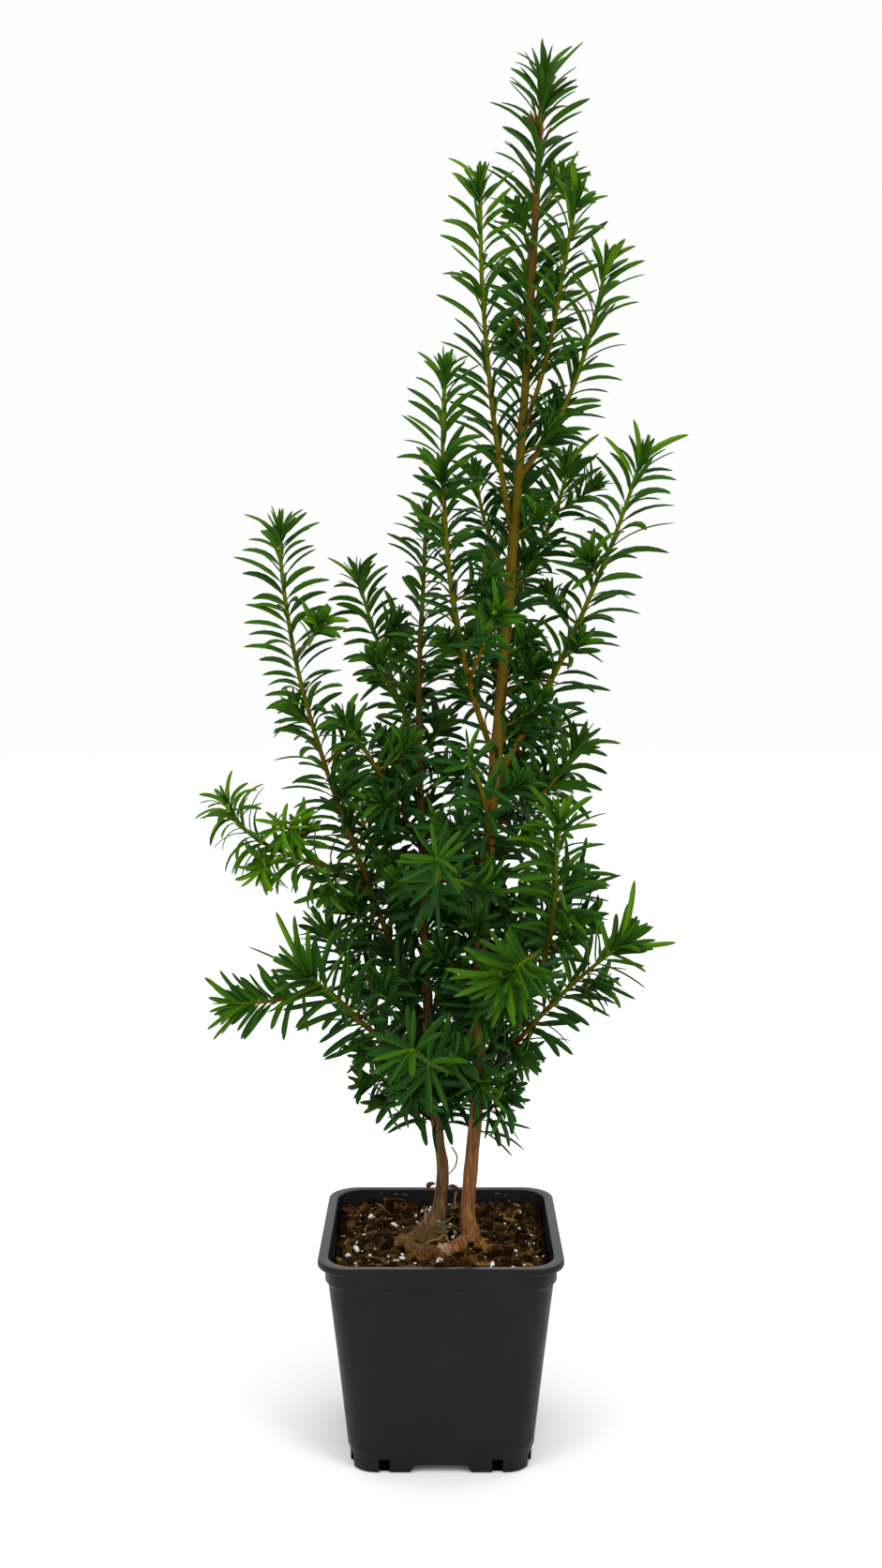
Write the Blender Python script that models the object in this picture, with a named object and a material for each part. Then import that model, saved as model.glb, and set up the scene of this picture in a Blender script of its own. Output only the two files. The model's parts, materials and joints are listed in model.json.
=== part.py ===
"""Young two-stemmed yew in a square nursery pot. Sizes in millimetres, written out in metres, +Z up.

The origin is the centre of the pot's underside on the floor. -Y is the side that faces the viewer.
"""
import math

import bmesh
import bpy
import numpy as np
from mathutils import Vector, noise
from mathutils.bvhtree import BVHTree

MM = 0.001
GAP = 0.35            # clearance kept between neighbouring pieces

# ---- pot -------------------------------------------------------------------
POT_HEIGHT = 82.6
RIM_HALF = 45.5       # half width over the lip
LIP_TALL = 3.2
LIP_WIDE = 3.2
COLLAR_HALF = 42.9
COLLAR_TALL = 5.7
BODY_TOP_HALF = 41.8
BODY_LOW_HALF = 35.1
BASE_TALL = 8.0
BASE_HALF = 34.1
WALL = 1.2
RIM_CORNER = 12.0
BASE_CORNER = 10.0
FLOOR_TOP = 4.2
PAD_FLOOR = 1.6       # floor thickness over the four standing pads
CHANNEL_LOW = 23.0    # the cross channel under the floor, width at the ground
CHANNEL_HIGH = 19.0
CHANNEL_TALL = 3.0
SLOT_AT = 21.1        # drainage slots, from the middle of each side
SLOT_WIDE = 4.0
SLOT_TALL = 5.0
PAD_IN, PAD_OUT = 13.2, 29.6

# ---- soil ------------------------------------------------------------------
SOIL_LEVEL = 74.5
SOIL_ROUGH = 1.6
SOIL_CLEAR = 20.0     # the soil is level this close to the stems

# ---- stems -----------------------------------------------------------------
STEM_FOOT = 75.0      # height of the flat cut at ground level
# each: way points (x, y, z), radius at ground, half way and tip, flare (extra radius, height),
# lobes at the foot (count, size, turn)
STEMS = {
    "trunk_main": dict(
        way=[(12.6, 1.6, 75), (10.7, 2.8, 89), (14.4, 2.5, 138), (15.2, 2.1, 190), (20.6, 1.6, 262),
             (25.9, 1.2, 332), (31.2, 0.7, 402), (35.0, 0.2, 472), (37.0, 0.0, 510)],
        radius=(2.75, 2.1, 1.0), flare=(1.9, 5.0), lobes=(2, 0.14, 0.6), rings=26, sides=9),
    "trunk_left": dict(
        way=[(-6.0, 4.6, 75), (-1.4, 5.8, 90), (0.0, 5.3, 107), (-4.0, 4.8, 140), (-6.4, 4.0, 206),
             (-8.4, 3.2, 284), (-6.2, 2.4, 338), (-5.4, 2.0, 360)],
        radius=(2.3, 1.4, 0.7), flare=(4.2, 6.5), lobes=(3, 0.12, 2.2), rings=20, sides=9),
}

# ---- shoots ----------------------------------------------------------------
# name: parent, where it leaves (height on a stem, share of the way on a shoot), tip (x, y, z),
#       low bend and high bend away from the straight line, where its leaves begin (share),
#       leaf reach round it, how flat its spray is (1 round), thickness of its wood at the foot
SHOOTS = {
    "top_left":          ("trunk_main", 346, (14, -16, 480), 5, 5, 0.13, 14.5, 1.0, 1.5),
    "top_small_left":    ("trunk_main", 448, (27, 15, 476), 1, 0, 0.36, 11.0, 1.0, 0.9),
    "top_small_right":   ("trunk_main", 464, (48, 18, 488), -1, -5, 0.32, 12.0, 1.0, 0.9),
    "upper_right_inner": ("trunk_main", 386, (50, -20, 475), -6, 0, 0.16, 13.0, 1.0, 1.2),
    "upper_right":       ("trunk_main", 369, (61, -10, 454), -11, -7, 0.14, 14.5, 1.0, 1.4),
    "centre_left":       ("trunk_main", 263, (2, -30, 413), 13, 10, 0.16, 14.5, 1.0, 1.6),
    "upper_back_left":   ("trunk_main", 329, (13, 16, 380), 3, 5, 0.26, 12.5, 1.0, 1.1),
    "right_tall":        ("trunk_main", 255, (76, -10, 384), -6, -6, 0.16, 16.0, 1.0, 1.7),
    "right_back":        ("trunk_main", 322, (50, 26, 384), -3, -7, 0.22, 14.0, 1.0, 1.2),
    "left_tall":         ("trunk_left", 150, (-59, -12, 358), 2, 21, 0.30, 17.5, 1.0, 1.7),
    "left_tall_side":    ("left_tall", 0.74, (-41, -26, 323), -1, -3, 0.36, 12.0, 1.0, 0.8),
    "left_back":         ("trunk_left", 266, (-34, 18, 342), 1, 3, 0.18, 13.5, 1.0, 1.0),
    "left_inner":        ("trunk_left", 229, (-40, -20, 287), -2, -2, 0.20, 14.0, 1.0, 1.0),
    "left_drooping":     ("left_tall", 0.27, (-78, -28, 254), -14, 19, 0.17, 15.5, 0.8, 1.1),
    "low_left":          ("trunk_left", 142, (-56, -34, 195), 4, -1, 0.28, 17.5, 0.9, 1.4),
    "low_left_tip":      ("low_left", 0.77, (-84, -34, 178), 5, 2, 0.30, 15.5, 0.8, 1.0),
    "left_low_back":     ("trunk_left", 158, (-51, 34, 200), 2, 6, 0.22, 15.0, 0.85, 1.2),
    "low_right":         ("trunk_main", 138, (74, -30, 204), 2, 7, 0.26, 17.0, 0.9, 1.5),
    "right_low_back":    ("trunk_main", 172, (60, 32, 217), -2, 4, 0.20, 15.5, 0.9, 1.3),
    "right_front":       ("trunk_main", 160, (43, -42, 254), -29, -5, 0.36, 17.0, 0.95, 1.4),
    "right_mid":         ("trunk_main", 238, (57, 14, 277), -8, -7, 0.20, 15.5, 0.95, 1.1),
    "centre_front":      ("centre_left", 0.21, (21, -44, 325), 1, -2, 0.30, 12.0, 1.0, 0.9),
    "front_left":        ("trunk_left", 206, (-2, -76, 239), -3, -5, 0.24, 14.5, 0.85, 1.2),
    "front_low_left":    ("trunk_left", 136, (-12, -68, 171), -4, -6, 0.24, 17.0, 0.85, 1.2),
    "front_right":       ("trunk_main", 166, (22, -66, 194), -5, -6, 0.24, 15.0, 0.8, 1.3),
    "front_mid":         ("trunk_main", 220, (7, -60, 272), -4, -8, 0.24, 13.5, 0.9, 1.2),
    # the far side, which the view hides, grown to match what shows
    "back_low_right":    ("trunk_main", 136, (46, 62, 188), 4, 7, 0.24, 15.5, 0.85, 1.4),
    "back_low_left":     ("trunk_left", 124, (-33, 60, 166), 4, 6, 0.24, 15.5, 0.85, 1.4),
    "back_low_middle":   ("trunk_main", 150, (12, 66, 170), 2, 6, 0.24, 14.5, 0.85, 1.3),
    "back_mid":          ("trunk_main", 176, (10, 73, 236), 2, 6, 0.22, 15.0, 0.9, 1.3),
    "back_mid_left":     ("trunk_left", 186, (-38, 56, 262), 3, 8, 0.20, 15.0, 0.9, 1.3),
    "back_mid_right":    ("trunk_main", 214, (48, 54, 283), -4, -8, 0.20, 15.0, 0.9, 1.3),
    "back_high":         ("trunk_main", 270, (19, 60, 350), -2, -8, 0.18, 14.5, 1.0, 1.3),
    "back_left_high":    ("trunk_left", 236, (-15, 50, 316), 2, 6, 0.20, 14.0, 1.0, 1.0),
    "back_top":          ("trunk_main", 388, (32, 33, 456), -1, -4, 0.20, 13.0, 1.0, 1.1),
}

# leaves that sit on the stems themselves: stem, from height, to height (None runs past the tip), reach
SLEEVES = {
    "leader":           ("trunk_main", 400, None, 15.0),
    "main_stem_high":   ("trunk_main", 304, 393, 13.0),
    "main_stem_middle": ("trunk_main", 206, 297, 13.0),
    "main_stem_low":    ("trunk_main", 108, 198, 18.5),
    "left_stem_tip":    ("trunk_left", 274, None, 13.0),
    "left_stem_middle": ("trunk_left", 192, 267, 12.5),
    "left_stem_low":    ("trunk_left", 106, 184, 18.5),
}
TIP_REACH = 4.5       # how far the leaves stand past the wood's tip
LEADER_REACH = 16.0
LEFT_TIP_REACH = 6.0
CELL_GAP = 1.3        # room left between two masses at their shared boundary
SHORTEST_BARE = 21.5  # wood bare for less than this before it enters its leaves gets no limb of its own

COLOURS = {
    "pot_plastic": (0.022, 0.023, 0.024, 0.5),
    "soil_peat": (0.055, 0.032, 0.018, 0.95),
    "bark_main": (0.24, 0.125, 0.07, 0.6),
    "bark_left": (0.19, 0.12, 0.08, 0.65),
    "twig_green": (0.22, 0.2, 0.05, 0.5),
    "leaf_bright": (0.085, 0.22, 0.035, 0.4),
    "leaf_middle": (0.035, 0.135, 0.035, 0.4),
    "leaf_dark": (0.012, 0.065, 0.028, 0.4),
}


# ---- scene helpers ---------------------------------------------------------
for old in list(bpy.data.objects):
    bpy.data.objects.remove(old, do_unlink=True)
for old in list(bpy.data.meshes):
    bpy.data.meshes.remove(old)

YEW = bpy.data.collections.new("english_yew")
bpy.context.scene.collection.children.link(YEW)


def material(name, slot):
    r, g, b, rough = COLOURS[slot]
    mat = bpy.data.materials.new(name)
    mat.use_nodes = True
    shader = mat.node_tree.nodes["Principled BSDF"]
    shader.inputs["Base Color"].default_value = (r, g, b, 1)
    shader.inputs["Roughness"].default_value = rough
    mat.diffuse_color = (r, g, b, 1)
    return mat


def mesh_from(name, points, faces):
    mesh = bpy.data.meshes.new(name)
    mesh.from_pydata([tuple(float(c) * MM for c in p) for p in points], [], faces)
    mesh.update()
    return mesh


def outward(mesh):
    """Faces made to point out, loose bits dropped and thin leftovers welded."""
    bm = bmesh.new()
    bm.from_mesh(mesh)
    bmesh.ops.remove_doubles(bm, verts=bm.verts, dist=0.004 * MM)
    bmesh.ops.dissolve_degenerate(bm, dist=0.004 * MM, edges=bm.edges)
    bmesh.ops.triangulate(bm, faces=[f for f in bm.faces if len(f.verts) > 4])
    loose = [v for v in bm.verts if not v.link_faces]
    bmesh.ops.delete(bm, geom=loose, context="VERTS")
    # keep the largest island only
    left, islands = set(bm.faces), []
    while left:
        stack, island = [left.pop()], []
        while stack:
            f = stack.pop()
            island.append(f)
            for e in f.edges:
                for other in e.link_faces:
                    if other in left:
                        left.remove(other)
                        stack.append(other)
        islands.append(island)
    if len(islands) > 1:
        islands.sort(key=lambda isl: -sum(f.calc_area() for f in isl))
        for isl in islands[1:]:
            bmesh.ops.delete(bm, geom=isl, context="FACES")
    bmesh.ops.recalc_face_normals(bm, faces=bm.faces)
    if bm.calc_volume(signed=True) < 0:
        bmesh.ops.reverse_faces(bm, faces=bm.faces)
    bm.to_mesh(mesh)
    bm.free()
    mesh.update()
    return mesh


def new_object(name, mesh, slot, smooth=True):
    obj = bpy.data.objects.new(name, mesh)
    YEW.objects.link(obj)
    mesh.materials.clear()
    mesh.materials.append(material(name + "_material", slot))
    for poly in mesh.polygons:
        poly.use_smooth = smooth
    return obj


def cut(mesh, cutters, operation="DIFFERENCE"):
    """The mesh with every cutter taken away, one exact Boolean each."""
    work = bpy.data.objects.new("work", mesh)
    bpy.context.scene.collection.objects.link(work)
    tools = []
    for cutter in cutters:
        tool = bpy.data.objects.new("cutter", cutter)
        tool.hide_render = True
        tool.display_type = "WIRE"
        bpy.context.scene.collection.objects.link(tool)
        tools.append(tool)
        mod = work.modifiers.new("cut", "BOOLEAN")
        mod.operation = operation
        mod.solver = "EXACT"
        mod.object = tool
    graph = bpy.context.evaluated_depsgraph_get()
    made = bpy.data.meshes.new_from_object(work.evaluated_get(graph), depsgraph=graph)
    for obj in tools + [work]:
        bpy.data.objects.remove(obj, do_unlink=True)
    return made


# ---- pot and soil ----------------------------------------------------------
def square_ring(half, corner, z, per_corner=5):
    pts = []
    for q in range(4):
        cx = (half - corner) * (1 if q in (0, 3) else -1)
        cy = (half - corner) * (1 if q in (0, 1) else -1)
        for i in range(per_corner):
            a = math.pi / 2 * (q + i / (per_corner - 1))
            pts.append((cx + corner * math.cos(a), cy + corner * math.sin(a), z))
    return pts


def skin(rings, close_low=True, close_high=True):
    """Rings of equal count joined into one closed surface; the last may run back inside the first."""
    n = len(rings[0])
    points = [p for ring in rings for p in ring]
    faces = []
    for k in range(len(rings) - 1):
        a, b = k * n, (k + 1) * n
        for i in range(n):
            j = (i + 1) % n
            faces.append((a + i, a + j, b + j, b + i))
    if close_low:
        faces.append(tuple(reversed(range(n))))
    if close_high:
        last = (len(rings) - 1) * n
        faces.append(tuple(last + i for i in range(n)))
    return points, faces


def box(lo, hi):
    pts = [(x, y, z) for z in (lo[2], hi[2]) for x, y in ((lo[0], lo[1]), (hi[0], lo[1]), (hi[0], hi[1]), (lo[0], hi[1]))]
    faces = [(3, 2, 1, 0), (4, 5, 6, 7), (0, 1, 5, 4), (1, 2, 6, 5), (2, 3, 7, 6), (3, 0, 4, 7)]
    return mesh_from("cutter", pts, faces)


def channel(along_x):
    low, high, reach = CHANNEL_LOW / 2, CHANNEL_HIGH / 2, RIM_HALF
    pts = []
    for end in (-reach, reach):
        for w, z in ((-low, -1.0), (low, -1.0), (low, 0.0), (high, CHANNEL_TALL), (-high, CHANNEL_TALL), (-low, 0.0)):
            pts.append((end, w, z) if along_x else (w, end, z))
    faces = [(0, 1, 2, 3, 4, 5), (11, 10, 9, 8, 7, 6)] + [(i, i + 6, (i + 1) % 6 + 6, (i + 1) % 6) for i in range(6)]
    return outward(mesh_from("cutter", pts, faces))


wall_low = POT_HEIGHT - LIP_TALL - COLLAR_TALL
outer = [
    (BASE_HALF, BASE_CORNER, 0.0),
    (BASE_HALF + 0.35, BASE_CORNER, BASE_TALL - 0.5),
    (BODY_LOW_HALF, BASE_CORNER + 0.2, BASE_TALL),
    (BODY_TOP_HALF, RIM_CORNER - 0.8, wall_low - 0.7),
    (COLLAR_HALF, RIM_CORNER - 0.3, wall_low),
    (COLLAR_HALF + 0.1, RIM_CORNER - 0.3, POT_HEIGHT - LIP_TALL - 0.2),
    (RIM_HALF - 0.4, RIM_CORNER, POT_HEIGHT - LIP_TALL),
    (RIM_HALF, RIM_CORNER, POT_HEIGHT - LIP_TALL + 0.5),
    (RIM_HALF, RIM_CORNER, POT_HEIGHT - 0.5),
    (RIM_HALF - 0.5, RIM_CORNER - 0.3, POT_HEIGHT),
]
inner = [
    (RIM_HALF - LIP_WIDE, RIM_CORNER - 1.0, POT_HEIGHT),
    (COLLAR_HALF - WALL + 0.1, RIM_CORNER - 1.4, POT_HEIGHT - 0.9),
    (COLLAR_HALF - WALL, RIM_CORNER - 1.5, wall_low + 2.2),
    (BODY_TOP_HALF - WALL, RIM_CORNER - 2.0, wall_low + 0.9),
    (BODY_LOW_HALF - WALL - 0.5, BASE_CORNER - 1.0, FLOOR_TOP),
]
points, faces = skin([square_ring(*row) for row in outer + inner])
pot_mesh = outward(mesh_from("pot", points, faces))
tools = [channel(True), channel(False)]
for sx in (-1, 1):
    for sy in (-1, 1):
        xs, ys = sorted((sx * PAD_IN, sx * PAD_OUT)), sorted((sy * PAD_IN, sy * PAD_OUT))
        tools.append(box((xs[0], ys[0], PAD_FLOOR), (xs[1], ys[1], FLOOR_TOP + 3)))
        for along_x in (True, False):
            side = sorted((sx * (PAD_OUT - 1.5), sx * (RIM_HALF + 1)))
            at = sy * SLOT_AT
            lo = (side[0], at - SLOT_WIDE / 2, -1) if along_x else (at - SLOT_WIDE / 2, side[0], -1)
            hi = (side[1], at + SLOT_WIDE / 2, SLOT_TALL) if along_x else (at + SLOT_WIDE / 2, side[1], SLOT_TALL)
            tools.append(box(lo, hi))
pot_mesh = outward(cut(pot_mesh, tools))
new_object("pot", pot_mesh, "pot_plastic", smooth=False)


def half_inside(z):
    """Half width of the pot's inside at height z."""
    low, high = inner[-1], inner[-2]
    t = (z - low[2]) / (high[2] - low[2])
    return low[0] + (high[0] - low[0]) * t


def soil_height(x, y):
    """The soil is level round the stems and lumpy away from them."""
    d = min(math.hypot(x - 10, y - 0), math.hypot(x + 4, y - 2), math.hypot(x + 3, y + 10))
    t = min(1.0, max(0.0, (d - SOIL_CLEAR) / 9.0))
    bumps = noise.noise(Vector((x * 0.11, y * 0.11, 4.2))) + 0.5 * noise.noise(Vector((x * 0.27, y * 0.27, 9.1)))
    return SOIL_LEVEL + SOIL_ROUGH * t * bumps


soil_rings = []
for z in (FLOOR_TOP + GAP, 30.0, 52.0):
    soil_rings.append(square_ring(half_inside(z) - GAP - 0.15, 9.0 + (z - FLOOR_TOP) * 0.012, z))
edge_half = half_inside(SOIL_LEVEL - 2.0) - GAP - 0.15
for share in (1.0, 0.8, 0.62, 0.44, 0.26, 0.1):
    ring = square_ring(edge_half * share, 9.6 * share, 0.0)
    soil_rings.append([(x, y, soil_height(x, y)) for x, y, _ in ring])
points, faces = skin(soil_rings)
soil_mesh = outward(mesh_from("soil", points, faces))
feet = []
for sx in (-1, 1):
    for sy in (-1, 1):
        xs = sorted((sx * (PAD_IN + GAP), sx * (PAD_OUT - GAP)))
        ys = sorted((sy * (PAD_IN + GAP), sy * (PAD_OUT - GAP)))
        feet.append(box((xs[0], ys[0], PAD_FLOOR + GAP), (xs[1], ys[1], FLOOR_TOP + 4)))
soil_mesh = outward(cut(soil_mesh, feet, "UNION"))
new_object("soil", soil_mesh, "soil_peat", smooth=False)


# ---- limbs -----------------------------------------------------------------
def smooth_path(way, count):
    """Even points on a smooth curve through the way points."""
    way = [np.array(p, float) for p in way]
    ext = [2 * way[0] - way[1]] + way + [2 * way[-1] - way[-2]]
    dense = []
    for k in range(1, len(ext) - 2):
        p0, p1, p2, p3 = ext[k - 1:k + 3]
        for i in range(24):
            t = i / 24
            dense.append(0.5 * (2 * p1 + (p2 - p0) * t + (2 * p0 - 5 * p1 + 4 * p2 - p3) * t * t
                                + (3 * p1 - p0 - 3 * p2 + p3) * t ** 3))
    dense.append(way[-1])
    return evenly(np.array(dense), count)


def bent_path(foot, tip, low_bend, high_bend, count):
    """A cubic from foot to tip, bowed sideways by two bends in the x-z plane."""
    foot, tip = np.array(foot, float), np.array(tip, float)
    d = tip - foot
    side = np.array([-d[2], 0.0, d[0]])
    side /= np.linalg.norm(side)
    # shoots leave low and outwards, then turn up towards the light
    a, b = foot + d / 3 + side * low_bend, foot + d * 2 / 3 + side * high_bend
    t = np.linspace(0, 1, 120)[:, None]
    dense = (1 - t) ** 3 * foot + 3 * (1 - t) ** 2 * t * a + 3 * (1 - t) * t * t * b + t ** 3 * tip
    return evenly(dense, count)


def evenly(dense, count):
    run = np.r_[0, np.cumsum(np.linalg.norm(np.diff(dense, axis=0), axis=1))]
    at = np.linspace(0, run[-1], count)
    return np.stack([np.interp(at, run, dense[:, k]) for k in range(3)], axis=1)


def frames(path):
    """Tangent and two cross directions, carried along without twist."""
    tangent = np.gradient(path, axis=0)
    tangent /= np.linalg.norm(tangent, axis=1)[:, None]
    u = np.cross(tangent[0], (0.0, 1.0, 0.0))
    u /= np.linalg.norm(u)
    us, vs = [], []
    for t in tangent:
        u = u - t * (u @ t)
        u /= np.linalg.norm(u)
        us.append(u.copy())
        vs.append(np.cross(t, u))
    return tangent, np.array(us), np.array(vs)


def tube(path, radii, sides, extra=0.0, lobes=None, level_foot=False):
    """Points and faces of a closed tapering limb; extra fattens it for cutting its neighbours."""
    tangent, us, vs = frames(path)
    rings = []
    for k, (p, r) in enumerate(zip(path, radii)):
        if k == 0:
            p = p - tangent[0] * extra
        if k == len(path) - 1:
            p = p + tangent[-1] * extra
        ring = []
        for i in range(sides):
            a = 2 * math.pi * i / sides
            wave = 1.0
            if lobes:
                count, size, turn, spread = lobes
                wave += size * math.cos(count * (a - turn)) * math.exp(-k / spread)
            q = p + (us[k] * math.cos(a) + vs[k] * math.sin(a)) * (r * wave + extra)
            if level_foot and k == 0:
                q[2] = path[0][2] - extra
            ring.append(tuple(q))
        rings.append(ring)
    return skin(rings)


class Limb:
    def __init__(self, name, path, radii, sides, slot, lobes=None, level_foot=False):
        self.name, self.path, self.radii, self.sides, self.slot = name, path, np.array(radii), sides, slot
        self.lobes, self.level_foot = lobes, level_foot

    def mesh(self, extra=0.0):
        pts, fcs = tube(self.path, self.radii, self.sides, extra, self.lobes, self.level_foot)
        return outward(mesh_from(self.name, pts, fcs))

    def at(self, where):
        """Point on the limb: a height on a stem, a share of the way on a shoot."""
        if where > 1.0:
            return np.array([np.interp(where, self.path[:, 2], self.path[:, k]) for k in range(3)])
        return self.path[int(round(where * (len(self.path) - 1)))]


stems = {}
for name, s in STEMS.items():
    path = smooth_path(s["way"], 220)
    height = (path[:, 2] - STEM_FOOT) / (path[-1, 2] - STEM_FOOT)
    r0, r1, r2 = s["radius"]
    radii = np.where(height < 0.5, r0 + (r1 - r0) * height * 2, r1 + (r2 - r1) * (height - 0.5) * 2)
    size, tall = s["flare"]
    radii = radii + size * np.exp(-(path[:, 2] - STEM_FOOT) / tall)
    # rings stand closer together in the flare
    share = np.linspace(0, 1, s["rings"]) ** 1.35
    pick = np.unique(np.round(share * (len(path) - 1)).astype(int))
    count, wave, turn = s["lobes"]
    limb = Limb(name, path[pick], radii[pick], s["sides"], "bark_main" if name == "trunk_main" else "bark_left",
                (count, wave, turn, 1.6), True)
    limb.fine = path
    limb.fine_radii = radii
    stems[name] = limb

shoots = {}
for name, (parent, where, tip, low, high, leafy, reach, flat, wood) in SHOOTS.items():
    if parent in stems:
        fine = stems[parent].fine
        foot = np.array([np.interp(where, fine[:, 2], fine[:, k]) for k in range(3)])
    else:
        foot = shoots[parent]["path"][int(round(where * 119))]
    path = bent_path(foot, tip, low, high, 120)
    shoots[name] = dict(path=path, parent=parent, leafy=leafy, reach=reach, flat=flat, wood=wood)

# leafy axes: the part of each shoot that carries leaves, run on past the wood's tip
axes = {}
for name, s in shoots.items():
    path = s["path"]
    length = np.linalg.norm(np.diff(path, axis=0), axis=1).sum()
    start = int(s["leafy"] * 119)
    clear = 8.5 if s["parent"] in stems else 9.5
    body = stems[s["parent"]].fine if s["parent"] in stems else shoots[s["parent"]]["path"]
    while start < 100 and np.linalg.norm(body - path[start], axis=1).min() < clear:
        start += 1
    s["start"] = start
    end = path[-1] - path[-6]
    end /= np.linalg.norm(end)
    line = np.vstack([path[start:], path[-1] + end * TIP_REACH])
    axes[name] = dict(line=evenly(line, 90), reach=s["reach"], flat=s["flat"], limb=False)
for name, (stem, low, high, reach) in SLEEVES.items():
    fine = stems[stem].fine
    keep = fine[(fine[:, 2] >= low) & (fine[:, 2] <= (high or 1e9))]
    if high is None:
        end = keep[-1] - keep[-6]
        end /= np.linalg.norm(end)
        past = LEADER_REACH if name == "leader" else LEFT_TIP_REACH
        keep = np.vstack([keep, keep[-1] + end * past])
    axes[name] = dict(line=evenly(keep, 90), reach=reach, flat=1.0, limb=True)

cloud, owner = [], []
for index, (name, a) in enumerate(axes.items()):
    a["index"] = index
    cloud.append(a["line"])
    owner.append(np.full(len(a["line"]), index))
cloud, owner = np.concatenate(cloud), np.concatenate(owner)
stem_cloud = np.concatenate([l.fine for l in stems.values()])
stem_radii = np.concatenate([l.fine_radii for l in stems.values()])


def free_reach(p, directions, limits, index, is_sleeve):
    """How far each ray from p may run before it nears another axis more than its own."""
    steps = np.linspace(0.06, 1.0, 22)
    q = p[None, None, :] + directions[:, None, :] * (limits[:, None] * steps[None, :])[:, :, None]
    flat = q.reshape(-1, 3)
    dist = np.linalg.norm(flat[:, None, :] - cloud[None, :, :], axis=2)
    mine = np.where(owner[None, :] == index, dist, 1e9).min(1)
    other = np.where(owner[None, :] != index, dist, 1e9).min(1)
    ok = mine + CELL_GAP <= other
    if not is_sleeve:
        to_stem = (np.linalg.norm(flat[:, None, :] - stem_cloud[None, ::4, :], axis=2) - stem_radii[None, ::4]).min(1)
        ok &= to_stem > 1.2
    ok = ok.reshape(len(directions), len(steps))
    good = np.cumprod(ok, axis=1).sum(1)
    return np.where(good > 0, steps[np.maximum(good - 1, 0)], 0.0) * limits


def profile(s):
    """Reach along a spray: quick to open, full through the middle, drawn in at the tip."""
    rise = min(1.0, 0.35 + 3.4 * s)
    fall = 1.0 if s < 0.78 else 1.0 - 0.50 * ((s - 0.78) / 0.22) ** 2
    return rise * fall


masses = {}
for name, a in axes.items():
    line = a["line"]
    length = np.linalg.norm(np.diff(line, axis=0), axis=1).sum()
    count = int(min(13, max(6, round(length / 11))))
    sides = 9 if a["limb"] else 8
    seed = 3.7 * a["index"] + 1.3
    share = (np.arange(count) + 0.5) / count
    at = share * (len(line) - 1)
    path = np.stack([np.interp(at, np.arange(len(line)), line[:, k]) for k in range(3)], axis=1)
    tangent, us, vs = frames(path)
    radii = np.zeros((count, sides))
    spin = (a["index"] * 0.7) % 1.0
    dirs = np.zeros((count, sides, 3))
    for k in range(count):
        for i in range(sides):
            ang = 2 * math.pi * (i + 0.5 * (k % 2) + spin) / sides
            dirs[k, i] = us[k] * math.cos(ang) + vs[k] * math.sin(ang)
            wobble = noise.noise(Vector((math.cos(ang) * 1.1 + seed, math.sin(ang) * 1.1, share[k] * length * 0.06)))
            grain = noise.noise(Vector((ang * 2.3, share[k] * length * 0.19, seed)))
            size = a["reach"] * profile(share[k]) * (1 + 0.22 * wobble + 0.20 * grain)
            # a flattened spray is thin across its own upper and under side
            up = abs(dirs[k, i][2])
            radii[k, i] = size * (1 - (1 - a["flat"]) * up)
        free = free_reach(path[k], dirs[k], radii[k], a["index"], a["limb"])
        radii[k] = np.maximum(free, 1.2 if not a["limb"] else 4.2)
    masses[name] = dict(path=path, dirs=dirs, radii=radii, low=line[0], high=line[-1], sides=sides, count=count)


def mass_shape(m, grow=0.0):
    pts = [tuple(m["low"])]
    for k in range(m["count"]):
        for i in range(m["sides"]):
            pts.append(tuple(m["path"][k] + m["dirs"][k, i] * (m["radii"][k, i] + grow)))
    pts.append(tuple(m["high"]))
    n, fcs = m["sides"], []
    for i in range(n):
        fcs.append((0, 1 + (i + 1) % n, 1 + i))
    for k in range(m["count"] - 1):
        a, b = 1 + k * n, 1 + (k + 1) * n
        for i in range(n):
            j = (i + 1) % n
            # rings are turned half a step, so the split follows the turn
            if k % 2 == 0:
                fcs += [(a + i, a + j, b + i), (a + j, b + j, b + i)]
            else:
                fcs += [(a + i, a + j, b + j), (a + i, b + j, b + i)]
    last = len(pts) - 1
    for i in range(n):
        fcs.append((last, 1 + (m["count"] - 1) * n + i, 1 + (m["count"] - 1) * n + (i + 1) % n))
    return pts, fcs


def owner_of(face_index, m):
    """Ring and side indexes touched by a face of mass_shape."""
    n = m["sides"]
    if face_index < n:
        return [(0, face_index), (0, (face_index + 1) % n)]
    body = 2 * n * (m["count"] - 1)
    if face_index < n + body:
        k, rest = divmod(face_index - n, 2 * n)
        i = rest // 2
        return [(k, i), (k, (i + 1) % n), (k + 1, i), (k + 1, (i + 1) % n)]
    i = face_index - n - body
    return [(m["count"] - 1, i), (m["count"] - 1, (i + 1) % n)]


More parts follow.
